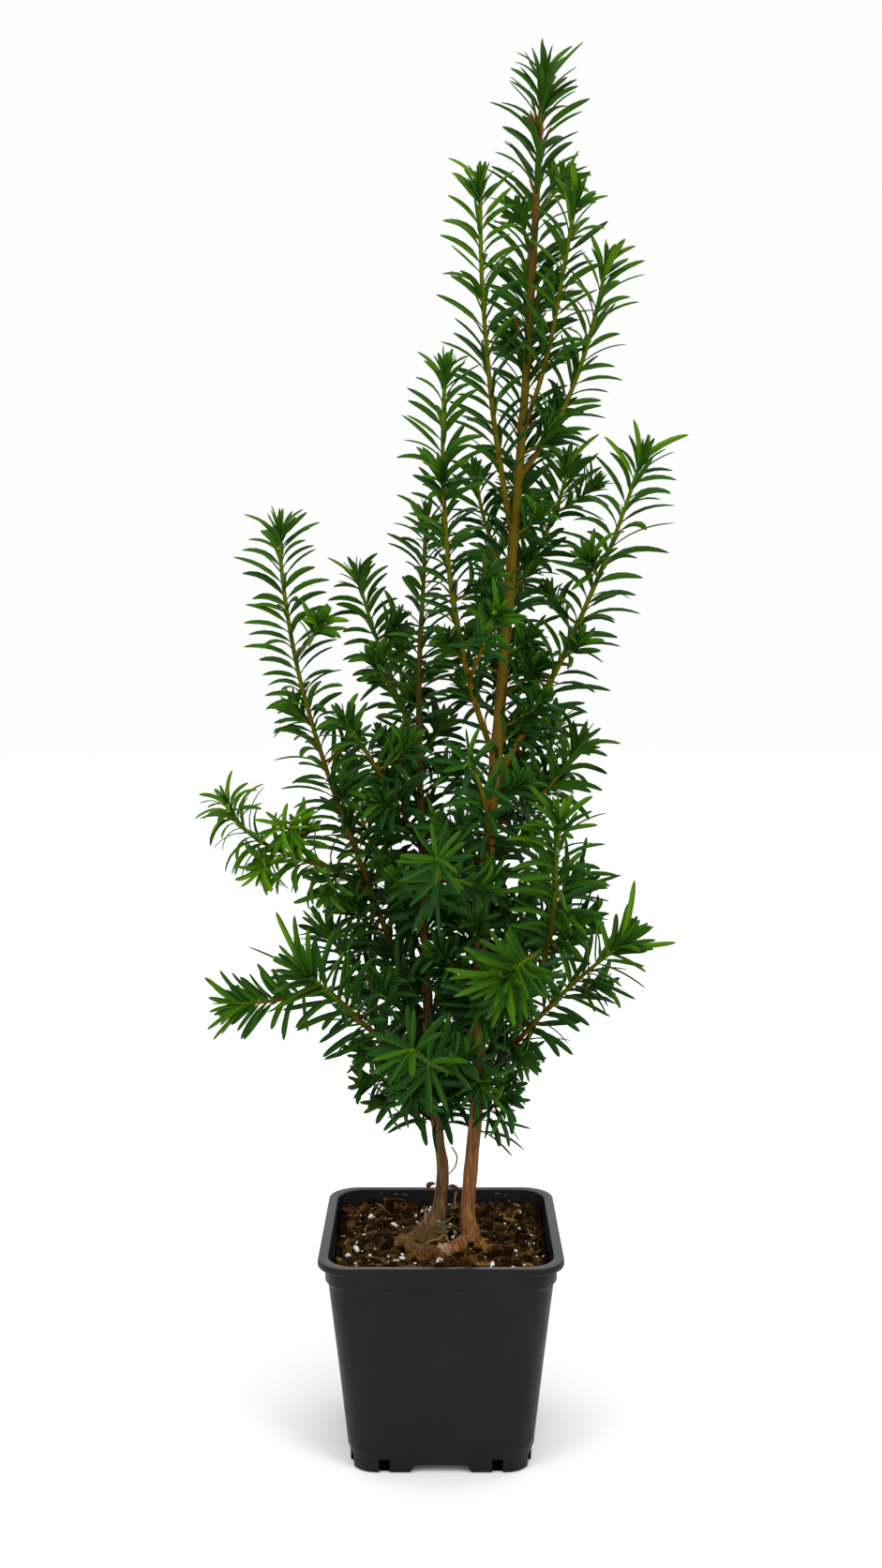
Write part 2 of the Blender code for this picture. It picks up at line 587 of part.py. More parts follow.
# draw touching masses back from each other until every pair is clear
names = list(masses)
for turn in range(40):
    trees, boxes = {}, {}
    for name in names:
        pts, fcs = mass_shape(masses[name], 0.25)
        arr = np.array(pts)
        boxes[name] = (arr.min(0), arr.max(0))
        trees[name] = BVHTree.FromPolygons([Vector(p) for p in pts], fcs)
    shrink = {name: set() for name in names}
    for i, first in enumerate(names):
        for second in names[i + 1:]:
            if (boxes[first][0] > boxes[second][1]).any() or (boxes[second][0] > boxes[first][1]).any():
                continue
            for fa, fb in trees[first].overlap(trees[second]):
                shrink[first].update(owner_of(fa, masses[first]))
                shrink[second].update(owner_of(fb, masses[second]))
    if not any(shrink.values()):
        break
    for name, cells in shrink.items():
        for k, i in cells:
            floor = 3.4 if axes[name]["limb"] else 0.9
            masses[name]["radii"][k, i] = max(floor, masses[name]["radii"][k, i] * 0.9 - 0.1)

# ---- the wood --------------------------------------------------------------
limbs = dict(stems)
for name, s in shoots.items():
    path, start = s["path"], s["start"]
    run = np.linalg.norm(np.diff(path[:start + 1], axis=0), axis=1).sum()
    begin = 0
    if run < SHORTEST_BARE:
        continue
    if s["parent"] not in stems:
        body = shoots[s["parent"]]["path"]
        while begin < start and np.linalg.norm(body - path[begin], axis=1).min() < 1.6 + s["wood"]:
            begin += 1
        # a side shoot on a leafy stretch is covered from its foot
        near = int(round(SHOOTS[name][1] * 119))
        if near >= shoots[s["parent"]]["start"] or start - begin < 4:
            continue
    piece = path[begin:start + 1].copy()
    end = piece[-1] - piece[-2]
    end /= np.linalg.norm(end)
    piece[-1] = piece[-1] - end * (GAP + 0.1)
    count = max(3, int(round(run / 9)) + 1)
    piece = evenly(piece, count)
    share = np.linspace(0, 1, count)
    radii = s["wood"] * (1 - 0.30 * share)
    limbs["bough_" + name] = Limb("bough_" + name, piece, radii, 6, "bark_main")
    limbs["bough_" + name].parent = s["parent"]

for name, limb in limbs.items():
    mesh = limb.mesh()
    parent = getattr(limb, "parent", None)
    if parent in stems:
        mesh = outward(cut(mesh, [stems[parent].mesh(GAP)]))
    new_object(name, mesh, limb.slot)

# the low crown of old root that joins the two stems in front, lying on the soil
ROOT_WAY = [(7.2, -6.6, 77.2), (0.5, -12.2, 77.0), (-8.5, -12.6, 77.3), (-15.0, -6.2, 77.6)]
ROOT_THICK = (2.6, 2.9, 3.2, 2.0)
path = smooth_path(ROOT_WAY, 10)
radii = np.interp(np.linspace(0, 3, 10), range(4), ROOT_THICK)
points, faces = tube(path, radii, 8)
points = [(x, y, max(z, STEM_FOOT)) for x, y, z in points]
root_mesh = outward(mesh_from("root_crown", points, faces))
root_mesh = outward(cut(root_mesh, [limb.mesh(GAP) for limb in stems.values()]))
new_object("root_crown", root_mesh, "bark_left")

# ---- the leaves ------------------------------------------------------------
TONES = ("leaf_dark", "leaf_middle", "leaf_bright")
for name, m in masses.items():
    pts, fcs = mass_shape(m)
    mesh = outward(mesh_from(name, pts, fcs))
    arr = np.array(pts)
    lo, hi = arr.min(0) - 1.0, arr.max(0) + 1.0
    tools = []
    for limb in limbs.values():
        if (limb.path < hi).all(1).any() or (limb.path > lo).all(1).any():
            line = evenly(limb.path, 60)
            if ((line > lo) & (line < hi)).all(1).any():
                tools.append(limb.mesh(GAP))
    if tools:
        mesh = outward(cut(mesh, tools))
    height = float(np.mean(arr[:, 2]))
    tone = TONES[0] if height < 215 else TONES[1] if height < 340 else TONES[2]
    new_object("foliage_" + name, mesh, tone)
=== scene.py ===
"""Young potted yew: the visual model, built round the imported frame. Sizes in millimetres, written out in metres."""
import json
import math

import bmesh
import bpy
import numpy as np
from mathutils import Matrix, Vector, noise

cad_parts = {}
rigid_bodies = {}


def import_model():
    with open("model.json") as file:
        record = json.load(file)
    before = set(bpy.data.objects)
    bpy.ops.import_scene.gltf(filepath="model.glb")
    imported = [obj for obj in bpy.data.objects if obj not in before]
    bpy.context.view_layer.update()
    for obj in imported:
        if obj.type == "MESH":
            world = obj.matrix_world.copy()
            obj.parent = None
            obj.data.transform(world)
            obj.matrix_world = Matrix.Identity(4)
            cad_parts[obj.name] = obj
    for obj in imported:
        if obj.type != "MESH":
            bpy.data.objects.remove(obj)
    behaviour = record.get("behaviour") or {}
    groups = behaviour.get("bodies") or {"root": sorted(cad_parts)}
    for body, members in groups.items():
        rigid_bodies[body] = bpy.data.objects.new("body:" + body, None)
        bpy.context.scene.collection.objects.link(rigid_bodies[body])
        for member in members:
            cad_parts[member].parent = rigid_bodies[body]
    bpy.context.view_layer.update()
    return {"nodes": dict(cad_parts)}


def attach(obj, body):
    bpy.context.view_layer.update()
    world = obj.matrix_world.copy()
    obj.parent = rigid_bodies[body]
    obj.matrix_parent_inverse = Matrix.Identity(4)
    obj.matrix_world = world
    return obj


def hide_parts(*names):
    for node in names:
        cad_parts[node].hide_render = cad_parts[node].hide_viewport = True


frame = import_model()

MM = 0.001

# ---- camera, light and floor ------------------------------------------------
scene = bpy.context.scene
camera = bpy.data.objects.new("camera", bpy.data.cameras.new("camera"))
scene.collection.objects.link(camera)
camera.location = (0.0, -0.65, 0.321)
camera.rotation_euler = (math.radians(84.18), 0.0, 0.0)
camera.data.lens = 39.72
camera.data.sensor_width = 36.0
camera.data.sensor_fit = "AUTO"
camera.data.clip_start = 0.01
camera.data.clip_end = 60.0
scene.camera = camera
scene.view_settings.view_transform = "Standard"
scene.view_settings.look = "None"
scene.view_settings.exposure = 0.0
scene.view_settings.gamma = 1.0

world = bpy.data.worlds.new("studio")
world.use_nodes = True
world.node_tree.nodes["Background"].inputs["Color"].default_value = (1.0, 1.0, 1.0, 1.0)
world.node_tree.nodes["Background"].inputs["Strength"].default_value = 0.985
scene.world = world


def area_light(name, place, target, size, watts, colour=(1.0, 1.0, 1.0)):
    data = bpy.data.lights.new(name, "AREA")
    data.shape = "SQUARE"
    data.size = size
    data.energy = watts
    data.color = colour
    obj = bpy.data.objects.new(name, data)
    scene.collection.objects.link(obj)
    obj.location = place
    obj.rotation_mode = "QUATERNION"
    obj.rotation_quaternion = (Vector(target) - Vector(place)).to_track_quat("-Z", "Y")
    return obj


area_light("key", (0.90, -1.00, 1.20), (0.0, 0.0, 0.26), 0.60, 7.5)
area_light("fill", (-0.90, -1.00, 1.20), (0.0, 0.0, 0.26), 0.60, 4.5)
area_light("top", (0.0, -0.25, 1.9), (0.0, 0.0, 0.2), 1.0, 6.0)

# ---- small helpers ----------------------------------------------------------
rng = np.random.default_rng(7041)


def unit(a):
    return a / np.maximum(np.linalg.norm(a, axis=-1, keepdims=True), 1e-9)


class Bag:
    """Points and faces of many small things, joined into one mesh."""

    def __init__(self):
        self.points, self.polys, self.slots, self.count = [], [], [], 0

    def add(self, points, polys, slot=0):
        points = np.asarray(points, float).reshape(-1, 3)
        for k, faces in enumerate(polys):
            faces = np.asarray(faces, np.int64)
            if len(faces):
                given = slot[k] if isinstance(slot, (list, tuple)) else slot
                self.polys.append(faces + self.count)
                self.slots.append(np.broadcast_to(np.asarray(given, np.int64), (len(faces),)))
        self.points.append(points)
        self.count += len(points)

    def triangles(self):
        return sum(len(f) * (f.shape[1] - 2) for f in self.polys)

    def make(self, name, materials, smooth=True, sharp=None):
        mesh = bpy.data.meshes.new(name)
        points = np.concatenate(self.points).astype(np.float32) * MM
        loops = np.concatenate([f.ravel() for f in self.polys]).astype(np.int32)
        sizes = np.concatenate([np.full(len(f), f.shape[1]) for f in self.polys])
        starts = np.concatenate([[0], np.cumsum(sizes)[:-1]]).astype(np.int32)
        mesh.vertices.add(len(points))
        mesh.vertices.foreach_set("co", points.ravel())
        mesh.loops.add(len(loops))
        mesh.loops.foreach_set("vertex_index", loops)
        mesh.polygons.add(len(starts))
        mesh.polygons.foreach_set("loop_start", starts)
        for mat in materials:
            mesh.materials.append(mat)
        mesh.polygons.foreach_set("material_index", np.concatenate(self.slots).astype(np.int32))
        mesh.polygons.foreach_set("use_smooth", np.full(len(starts), bool(smooth)))
        mesh.update(calc_edges=True)
        mesh.validate()
        if sharp is not None:
            mesh.set_sharp_from_angle(angle=math.radians(sharp))
        return place(name, mesh)


def place(name, mesh):
    obj = bpy.data.objects.new(name, mesh)
    scene.collection.objects.link(obj)
    return obj


def settle(obj, slot, *nodes):
    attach(obj, "root")
    if nodes:
        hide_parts(*nodes)
    return obj


def smooth_path(way, count):
    way = [np.array(p, float) for p in way]
    ext = [2 * way[0] - way[1]] + way + [2 * way[-1] - way[-2]]
    dense = []
    for k in range(1, len(ext) - 2):
        p0, p1, p2, p3 = ext[k - 1:k + 3]
        for i in range(24):
            t = i / 24
            dense.append(0.5 * (2 * p1 + (p2 - p0) * t + (2 * p0 - 5 * p1 + 4 * p2 - p3) * t * t
                                + (3 * p1 - p0 - 3 * p2 + p3) * t ** 3))
    dense.append(way[-1])
    return evenly(np.array(dense), count)


def bent_path(foot, tip, low_bend, high_bend, count):
    foot, tip = np.array(foot, float), np.array(tip, float)
    d = tip - foot
    side = np.array([-d[2], 0.0, d[0]])
    side /= np.linalg.norm(side)
    a, b = foot + d / 3 + side * low_bend, foot + d * 2 / 3 + side * high_bend
    t = np.linspace(0, 1, 120)[:, None]
    dense = (1 - t) ** 3 * foot + 3 * (1 - t) ** 2 * t * a + 3 * (1 - t) * t * t * b + t ** 3 * tip
    return evenly(dense, count)


def evenly(dense, count):
    run = np.r_[0, np.cumsum(np.linalg.norm(np.diff(dense, axis=0), axis=1))]
    at = np.linspace(0, run[-1], count)
    return np.stack([np.interp(at, run, dense[:, k]) for k in range(3)], axis=1)


def length_of(path):
    return float(np.linalg.norm(np.diff(path, axis=0), axis=1).sum())


def frames(path):
    tangent = unit(np.gradient(path, axis=0))
    u = np.cross(tangent[0], (0.0, 1.0, 0.0))
    if np.linalg.norm(u) < 0.1:
        u = np.cross(tangent[0], (1.0, 0.0, 0.0))
    u /= np.linalg.norm(u)
    us = []
    for t in tangent:
        u = u - t * (u @ t)
        u /= np.linalg.norm(u)
        us.append(u.copy())
    us = np.array(us)
    return tangent, us, np.cross(tangent, us)


def tube(path, radii, sides, shape=None):
    """Points and faces of a closed tube; shape(ring share, angle) swells it here and there."""
    tangent, us, vs = frames(path)
    rings = len(path)
    ang = 2 * math.pi * np.arange(sides) / sides
    r = np.asarray(radii, float)[:, None] * np.ones((1, sides))
    if shape is not None:
        r = r * shape(np.linspace(0, 1, rings)[:, None], ang[None, :])
    out = us[:, None, :] * np.cos(ang)[None, :, None] + vs[:, None, :] * np.sin(ang)[None, :, None]
    points = (path[:, None, :] + out * r[:, :, None]).reshape(-1, 3)
    k, i = np.meshgrid(np.arange(rings - 1), np.arange(sides), indexing="ij")
    j = (i + 1) % sides
    quads = np.stack([k * sides + i, k * sides + j, (k + 1) * sides + j, (k + 1) * sides + i], -1).reshape(-1, 4)
    caps = np.stack([np.arange(sides)[::-1], (rings - 1) * sides + np.arange(sides)])
    return points, [quads, caps]


def fractal(p, octaves, lacunarity=2.1, gain=0.5):
    total, size = 0.0, 1.0
    q = Vector(p)
    for _ in range(octaves):
        total += size * noise.noise(q)
        q = q * lacunarity + Vector((3.7, 1.9, 5.3))
        size *= gain
    return total


# ---- materials --------------------------------------------------------------
class Nodes:
    """A short way to write a node tree."""

    def __init__(self, name):
        self.mat = bpy.data.materials.new(name)
        self.mat.use_nodes = True
        self.tree = self.mat.node_tree
        self.shader = self.tree.nodes["Principled BSDF"]
        self.coord = None

    def node(self, kind, **values):
        n = self.tree.nodes.new(kind)
        for key, value in values.items():
            setattr(n, key, value)
        return n

    def link(self, a, b):
        self.tree.links.new(a, b)

    def where(self, scale):
        """Object coordinates in millimetres times scale."""
        if self.coord is None:
            self.coord = self.node("ShaderNodeTexCoord")
        m = self.node("ShaderNodeMapping")
        m.inputs["Scale"].default_value = [s * 1000.0 for s in scale]
        self.link(self.coord.outputs["Object"], m.inputs["Vector"])
        return m.outputs["Vector"]

    def noise(self, scale, detail=3.0, rough=0.55, distortion=0.0):
        n = self.node("ShaderNodeTexNoise")
        n.inputs["Scale"].default_value = 1.0
        n.inputs["Detail"].default_value = detail
        n.inputs["Roughness"].default_value = rough
        n.inputs["Distortion"].default_value = distortion
        self.link(self.where(scale), n.inputs["Vector"])
        return n.outputs["Fac"]

    def ramp(self, source, stops):
        r = self.node("ShaderNodeValToRGB")
        band = r.color_ramp
        while len(band.elements) > 1:
            band.elements.remove(band.elements[-1])
        band.elements[0].position = stops[0][0]
        band.elements[0].color = (*stops[0][1], 1.0)
        for at, colour in stops[1:]:
            e = band.elements.new(at)
            e.color = (*colour, 1.0)
        self.link(source, r.inputs["Fac"])
        return r.outputs["Color"]

    def spread(self, source, low_in, high_in, low_out, high_out):
        m = self.node("ShaderNodeMapRange")
        for key, value in zip(("From Min", "From Max", "To Min", "To Max"), (low_in, high_in, low_out, high_out)):
            m.inputs[key].default_value = value
        self.link(source, m.inputs["Value"])
        return m.outputs["Result"]

    def mix(self, factor, a, b, kind="MIX"):
        m = self.node("ShaderNodeMix", data_type="RGBA", blend_type=kind)
        for socket, value in ((m.inputs["Factor"], factor), (m.inputs["A"], a), (m.inputs["B"], b)):
            if isinstance(value, bpy.types.NodeSocket):
                self.link(value, socket)
            elif isinstance(value, (int, float)):
                socket.default_value = value
            else:
                socket.default_value = (*value, 1.0)
        return m.outputs["Result"]

    def math(self, kind, a, b):
        m = self.node("ShaderNodeMath", operation=kind)
        for socket, value in ((m.inputs[0], a), (m.inputs[1], b)):
            if isinstance(value, bpy.types.NodeSocket):
                self.link(value, socket)
            else:
                socket.default_value = value
        return m.outputs[0]

    def height(self):
        """Height above the floor in metres."""
        s = self.node("ShaderNodeSeparateXYZ")
        if self.coord is None:
            self.coord = self.node("ShaderNodeTexCoord")
        self.link(self.coord.outputs["Object"], s.inputs["Vector"])
        return s.outputs["Z"]

    def bump(self, source, strength, distance_mm):
        b = self.node("ShaderNodeBump")
        b.inputs["Strength"].default_value = strength
        b.inputs["Distance"].default_value = distance_mm * MM
        self.link(source, b.inputs["Height"])
        self.link(b.outputs["Normal"], self.shader.inputs["Normal"])

    def set(self, **values):
        names = {"colour": "Base Color", "rough": "Roughness", "shine": "Specular IOR Level"}
        for key, value in values.items():
            socket = self.shader.inputs[names[key]]
            if isinstance(value, bpy.types.NodeSocket):
                self.link(value, socket)
            elif key == "colour":
                socket.default_value = (*value, 1.0)
                self.mat.diffuse_color = (*value, 1.0)
            else:
                socket.default_value = value


def plain(name, colour, rough, shine):
    n = Nodes(name)
    n.set(colour=colour, rough=rough, shine=shine)
    return n.mat


def pot_material():
    n = Nodes("pot_plastic_satin")
    cloud = n.noise((0.05, 0.05, 0.035), 3.0, 0.5)
    colour = n.ramp(cloud, [(0.30, (0.0036, 0.0037, 0.0037)), (0.55, (0.0046, 0.0047, 0.0046)), (0.75, (0.0060, 0.0060, 0.0058))])
    scuff = n.noise((0.9, 0.9, 0.06), 4.0, 0.62, 0.6)
    marks = n.spread(scuff, 0.66, 0.80, 0.0, 0.40)
    colour = n.mix(marks, colour, (0.026, 0.026, 0.025))
    n.set(colour=colour, shine=0.155)
    fine = n.noise((4.5, 4.5, 4.5), 2.0, 0.5)
    n.set(rough=n.spread(n.noise((0.16, 0.16, 0.12), 3.0), 0.3, 0.7, 0.36, 0.50))
    n.bump(fine, 0.16, 0.05)
    return n.mat


def bark_material(name, dark, middle, light, young):
    n = Nodes(name)
    grain = n.noise((0.75, 0.75, 0.10), 5.0, 0.6, 0.5)
    colour = n.ramp(grain, [(0.32, dark), (0.50, middle), (0.70, light)])
    patch = n.noise((0.16, 0.16, 0.05), 2.0, 0.5)
    colour = n.mix(n.spread(patch, 0.42, 0.68, 0.0, 0.55), colour, tuple(c * 0.55 for c in middle))
    if young:
        # younger wood further up: golden brown, olive, then last year's orange and this year's green
        shift = n.math("ADD", n.height(), n.spread(patch, 0.0, 1.0, -0.035, 0.035))
        sharp = n.math("ADD", n.height(), n.spread(patch, 0.0, 1.0, -0.012, 0.012))
        for from_z, to_z, share, tint in young:
            colour = n.mix(n.spread(shift if to_z - from_z > 0.05 else sharp, from_z, to_z, 0.0, share), colour, tint)
    n.set(colour=colour, shine=0.055)
    n.set(rough=n.spread(grain, 0.3, 0.7, 0.32, 0.48))
    n.bump(n.noise((2.6, 2.6, 0.55), 4.0, 0.6), 0.28, 0.10)
    return n.mat


def soil_material():
    n = Nodes("soil_peat_dark")
    fine = n.noise((0.55, 0.55, 0.55), 6.0, 0.68, 0.8)
    colour = n.ramp(fine, [(0.34, (0.0028, 0.0014, 0.0004)), (0.48, (0.0130, 0.0062, 0.0016)), (0.62, (0.054, 0.026, 0.0055)), (0.78, (0.135, 0.066, 0.014))])
    n.set(colour=colour, shine=0.03)
    n.set(rough=n.spread(fine, 0.3, 0.7, 0.80, 0.97))
    n.bump(n.noise((1.6, 1.6, 1.6), 5.0, 0.7), 0.8, 0.4)
    return n.mat


def grainy(name, dark, light, scale, rough, bump_mm, shine=0.04):
    n = Nodes(name)
    grain = n.noise(scale, 4.0, 0.62, 0.3)
    n.set(colour=n.ramp(grain, [(0.32, dark), (0.68, light)]), rough=rough, shine=shine)
    n.bump(n.noise(tuple(2.2 * s for s in scale), 3.0, 0.6), 0.5, bump_mm)
    return n.mat


# needles: plain greens, dealt out by spray, from the young shoot tips to the shaded inside; the darker greens given to
# the inside are painted shade
GREENS = [
    ("lime", (0.082, 0.190, 0.003), 0.30),
    ("fresh", (0.046, 0.128, 0.003), 0.30),
    ("bright", (0.035, 0.108, 0.004), 0.29),
    ("middle", (0.0235, 0.081, 0.0055), 0.29),
    ("deep", (0.0165, 0.061, 0.0065), 0.28),
    ("dark", (0.0118, 0.045, 0.0075), 0.28),
    ("bluish", (0.0125, 0.047, 0.0160), 0.27),
    ("shade", (0.0078, 0.027, 0.0045), 0.32),
]
UNDERS = [("lime", (0.075, 0.170, 0.005)), ("middle", (0.026, 0.080, 0.006)), ("dark", (0.0095, 0.038, 0.005))]
UNDER_OF = [0, 1, 1, 1, 2, 2, 2, 2]
# painted shade: the darker tone that one half of each blade takes, for each tone
SHADED_HALF = [1, 2, 3, 5, 5, 7, 5, 7]
STALKS = [("lime", (0.115, 0.185, 0.004)), ("dark", (0.050, 0.092, 0.004))]
STALK_OF = [0, 0, 0, 1, 1, 1, 1, 1]
leaf_mats = ([plain("needle_" + n, c, r, 0.10 if n == "bluish" else 0.025) for n, c, r in GREENS]
             + [plain("needle_under_" + n, c, 0.5, 0.012) for n, c in UNDERS]
             + [plain("needle_stalk_" + n, c, 0.5, 0.012) for n, c in STALKS])
UNDER_AT, STALK_AT = len(GREENS), len(GREENS) + len(UNDERS)

# young wood, from the shoot tip down to the old wood
WOODS = [
    ("tip", (0.066, 0.135, 0.003)),
    ("green", (0.090, 0.125, 0.003)),
    ("olive", (0.100, 0.096, 0.003)),
    ("amber", (0.112, 0.072, 0.003)),
    ("orange", (0.080, 0.040, 0.004)),
    ("russet", (0.046, 0.021, 0.004)),
    ("brown", (0.024, 0.011, 0.003)),
]
wood_mats = [plain("twig_" + n, c, 0.40, 0.025) for n, c in WOODS]

# ---- the plant's lines, as in the frame's solids ------------------------------
STEM_FOOT = 75.0
STEMS = {
    "trunk_main": dict(
        way=[(12.2, 0.8, 75), (10.3, 2.6, 88), (14.2, 2.5, 138), (15.2, 2.1, 190), (20.6, 1.6, 262),
             (25.9, 1.2, 332), (31.2, 0.7, 402), (35.0, 0.2, 472), (37.0, 0.0, 514)],
        radius=(2.75, 2.15, 0.95), flare=(1.3, 4.5)),
    "trunk_left": dict(
        way=[(-3.4, 4.4, 75), (-0.2, 5.6, 90), (0.2, 5.3, 107), (-4.0, 4.8, 140), (-6.4, 4.0, 206),
             (-8.4, 3.2, 284), (-6.2, 2.4, 338), (-5.4, 2.0, 360)],
        radius=(2.3, 1.4, 0.7), flare=(4.2, 6.5)),
}
# name: parent, where it leaves, tip, low bend, high bend, where its leaves begin, reach, wood at the foot,
#       habit (up: needles all round an upright shoot; comb: a flat spray; star: a shoot that faces out),
#       needles per mm, tone (0 bright to 1 dark), way its flat side faces
FRONT, BACK = (0.0, -0.8, 0.6), (0.0, 0.8, 0.6)
SHOOTS = {
    "top_left":          ("trunk_main", 346, (14, -16, 480), 5, 5, 0.13, 14.5, 1.5, "up", 0.67, 0.18, None),
    "top_small_left":    ("trunk_main", 448, (27, 15, 476), 1, 0, 0.36, 11.0, 0.9, "up", 0.76, 0.06, None),
    "top_small_right":   ("trunk_main", 464, (48, 18, 488), -1, -5, 0.32, 12.0, 0.9, "up", 0.76, 0.00, None),
    "upper_right_inner": ("trunk_main", 386, (50, -20, 475), -6, 0, 0.16, 13.0, 1.2, "up", 0.68, 0.16, None),
    "upper_right":       ("trunk_main", 369, (61, -10, 454), -11, -7, 0.14, 14.5, 1.4, "up", 0.68, 0.16, None),
    "centre_left":       ("trunk_main", 263, (2, -30, 413), 13, 10, 0.16, 14.5, 1.6, "up", 0.72, 0.26, None),
    "upper_back_left":   ("trunk_main", 329, (13, 16, 380), 3, 5, 0.26, 12.5, 1.1, "up", 0.80, 0.40, None),
    "right_tall":        ("trunk_main", 255, (76, -10, 384), -6, -6, 0.16, 17.5, 1.7, "up", 0.62, 0.28, None),
    "right_back":        ("trunk_main", 322, (50, 26, 384), -3, -7, 0.22, 14.0, 1.2, "up", 0.85, 0.35, None),
    "left_tall":         ("trunk_left", 150, (-59, -12, 358), 2, 21, 0.30, 16.0, 1.7, "up", 0.82, 0.34, None),
    "left_tall_side":    ("left_tall", 0.74, (-41, -26, 323), -1, -3, 0.36, 12.0, 0.8, "up", 0.85, 0.20, None),
    "left_back":         ("trunk_left", 266, (-34, 18, 342), 1, 3, 0.18, 13.5, 1.0, "up", 0.80, 0.30, None),
    "left_inner":        ("trunk_left", 229, (-40, -20, 287), -2, -2, 0.20, 14.0, 1.0, "up", 0.85, 0.35, None),
    "left_drooping":     ("left_tall", 0.27, (-78, -28, 254), -14, 19, 0.17, 15.5, 1.1, "recurve", 1.10, 0.16, FRONT),
    "low_left":          ("trunk_left", 142, (-56, -34, 195), 4, -1, 0.28, 17.0, 1.4, "comb", 1.10, 0.42, FRONT),
    "low_left_tip":      ("low_left", 0.77, (-84, -34, 178), 5, 2, 0.16, 12.5, 1.0, "comb", 1.15, 0.42, FRONT),
    "left_low_back":     ("trunk_left", 158, (-51, 34, 200), 2, 6, 0.22, 15.0, 1.2, "comb", 0.90, 0.55, BACK),
    "low_right":         ("trunk_main", 138, (74, -30, 204), 2, 7, 0.26, 16.0, 1.5, "comb", 0.82, 0.22, FRONT),
    "right_low_back":    ("trunk_main", 172, (60, 32, 217), -2, 4, 0.20, 15.5, 1.3, "comb", 0.90, 0.55, BACK),
    "right_front":       ("trunk_main", 160, (43, -42, 254), -29, -5, 0.36, 18.5, 1.4, "up", 1.05, 0.10, None),
    "right_mid":         ("trunk_main", 238, (57, 14, 277), -8, -7, 0.20, 17.5, 1.1, "up", 1.05, 0.28, None),
    "centre_front":      ("centre_left", 0.21, (21, -44, 325), 1, -2, 0.30, 12.0, 0.9, "up", 0.85, 0.30, None),
    "front_left":        ("trunk_left", 206, (-2, -76, 239), -3, -5, 0.24, 14.5, 1.2, "star", 0.55, 0.40, None),
    "front_low_left":    ("trunk_left", 136, (-12, -68, 171), -4, -6, 0.24, 17.0, 1.2, "star", 0.55, 0.42, None),
    "front_right":       ("trunk_main", 166, (30, -57, 198), -5, -6, 0.24, 15.0, 1.3, "up", 0.80, 0.45, None),
    "front_mid":         ("trunk_main", 220, (7, -60, 272), -4, -8, 0.24, 13.5, 1.2, "star", 0.55, 0.45, None),
    "back_low_right":    ("trunk_main", 136, (46, 62, 188), 4, 7, 0.24, 15.5, 1.4, "comb", 0.85, 0.50, BACK),
    "back_low_left":     ("trunk_left", 124, (-33, 60, 166), 4, 6, 0.24, 15.5, 1.4, "comb", 0.85, 0.50, BACK),
    "back_low_middle":   ("trunk_main", 150, (12, 66, 170), 2, 6, 0.24, 14.5, 1.3, "comb", 0.85, 0.55, BACK),
    "back_mid":          ("trunk_main", 176, (10, 73, 236), 2, 6, 0.22, 15.0, 1.3, "up", 0.90, 0.45, None),
    "back_mid_left":     ("trunk_left", 186, (-38, 56, 262), 3, 8, 0.20, 15.0, 1.3, "up", 0.90, 0.40, None),
    "back_mid_right":    ("trunk_main", 214, (48, 54, 283), -4, -8, 0.20, 15.0, 1.3, "up", 0.90, 0.40, None),
    "back_high":         ("trunk_main", 270, (19, 60, 350), -2, -8, 0.18, 14.5, 1.3, "up", 0.85, 0.28, None),
    "back_left_high":    ("trunk_left", 236, (-15, 50, 316), 2, 6, 0.20, 14.0, 1.0, "up", 0.85, 0.32, None),
    "back_top":          ("trunk_main", 388, (32, 33, 456), -1, -4, 0.20, 13.0, 1.1, "up", 0.76, 0.20, None),
}
# needles on the stems: stem, from height, to height, reach, needles per mm, tone
SLEEVES = {
    "leader":           ("trunk_main", 400, 514, 15.8, 0.82, 0.16),
    "main_stem_high":   ("trunk_main", 304, 396, 14.0, 0.92, 0.30),
    "main_stem_middle": ("trunk_main", 206, 300, 14.5, 0.80, 0.55),
    "main_stem_low":    ("trunk_main", 117, 200, 17.5, 0.95, 0.50),
    "left_stem_tip":    ("trunk_left", 274, 353, 14.0, 0.75, 0.25),
    "left_stem_middle": ("trunk_left", 192, 270, 14.0, 0.80, 0.50),
    "left_stem_low":    ("trunk_left", 121, 186, 17.5, 1.10, 0.50),
}
TIPS = {"leader", "left_stem_tip"}
# sprigs: short side twigs that fill the inside: stem, from height, to height, how many, length range
SPRIGS = [
    ("trunk_main", 132, 200, 17, (9, 25)),
    ("trunk_left", 128, 190, 17, (9, 26)),
    ("trunk_main", 200, 300, 18, (12, 24)),
    ("trunk_left", 190, 270, 14, (12, 22)),
    ("trunk_main", 300, 390, 9, (10, 18)),
]
# which joined piece each mass's needles go to
GROUPS = {
    "top": ["leader", "main_stem_high", "top_left", "top_small_left", "top_small_right", "upper_right_inner",
            "upper_right", "back_top", "upper_back_left"],
    "middle": ["centre_left", "centre_front", "right_tall", "right_back", "right_mid", "main_stem_middle",
               "right_front"],
    "left": ["left_tall", "left_tall_side", "left_back", "left_inner", "left_drooping", "left_stem_tip",
             "left_stem_middle"],
    "low_front": ["low_left", "low_left_tip", "low_right", "front_left", "front_low_left", "front_right",
                  "front_mid"],
    "low_inner": ["main_stem_low", "left_stem_low", "left_low_back", "right_low_back"],
    "back": ["back_low_right", "back_low_left", "back_low_middle", "back_mid", "back_mid_left",
             "back_mid_right", "back_high", "back_left_high"],
}
GROUP_OF = {name: group for group, names in GROUPS.items() for name in names}

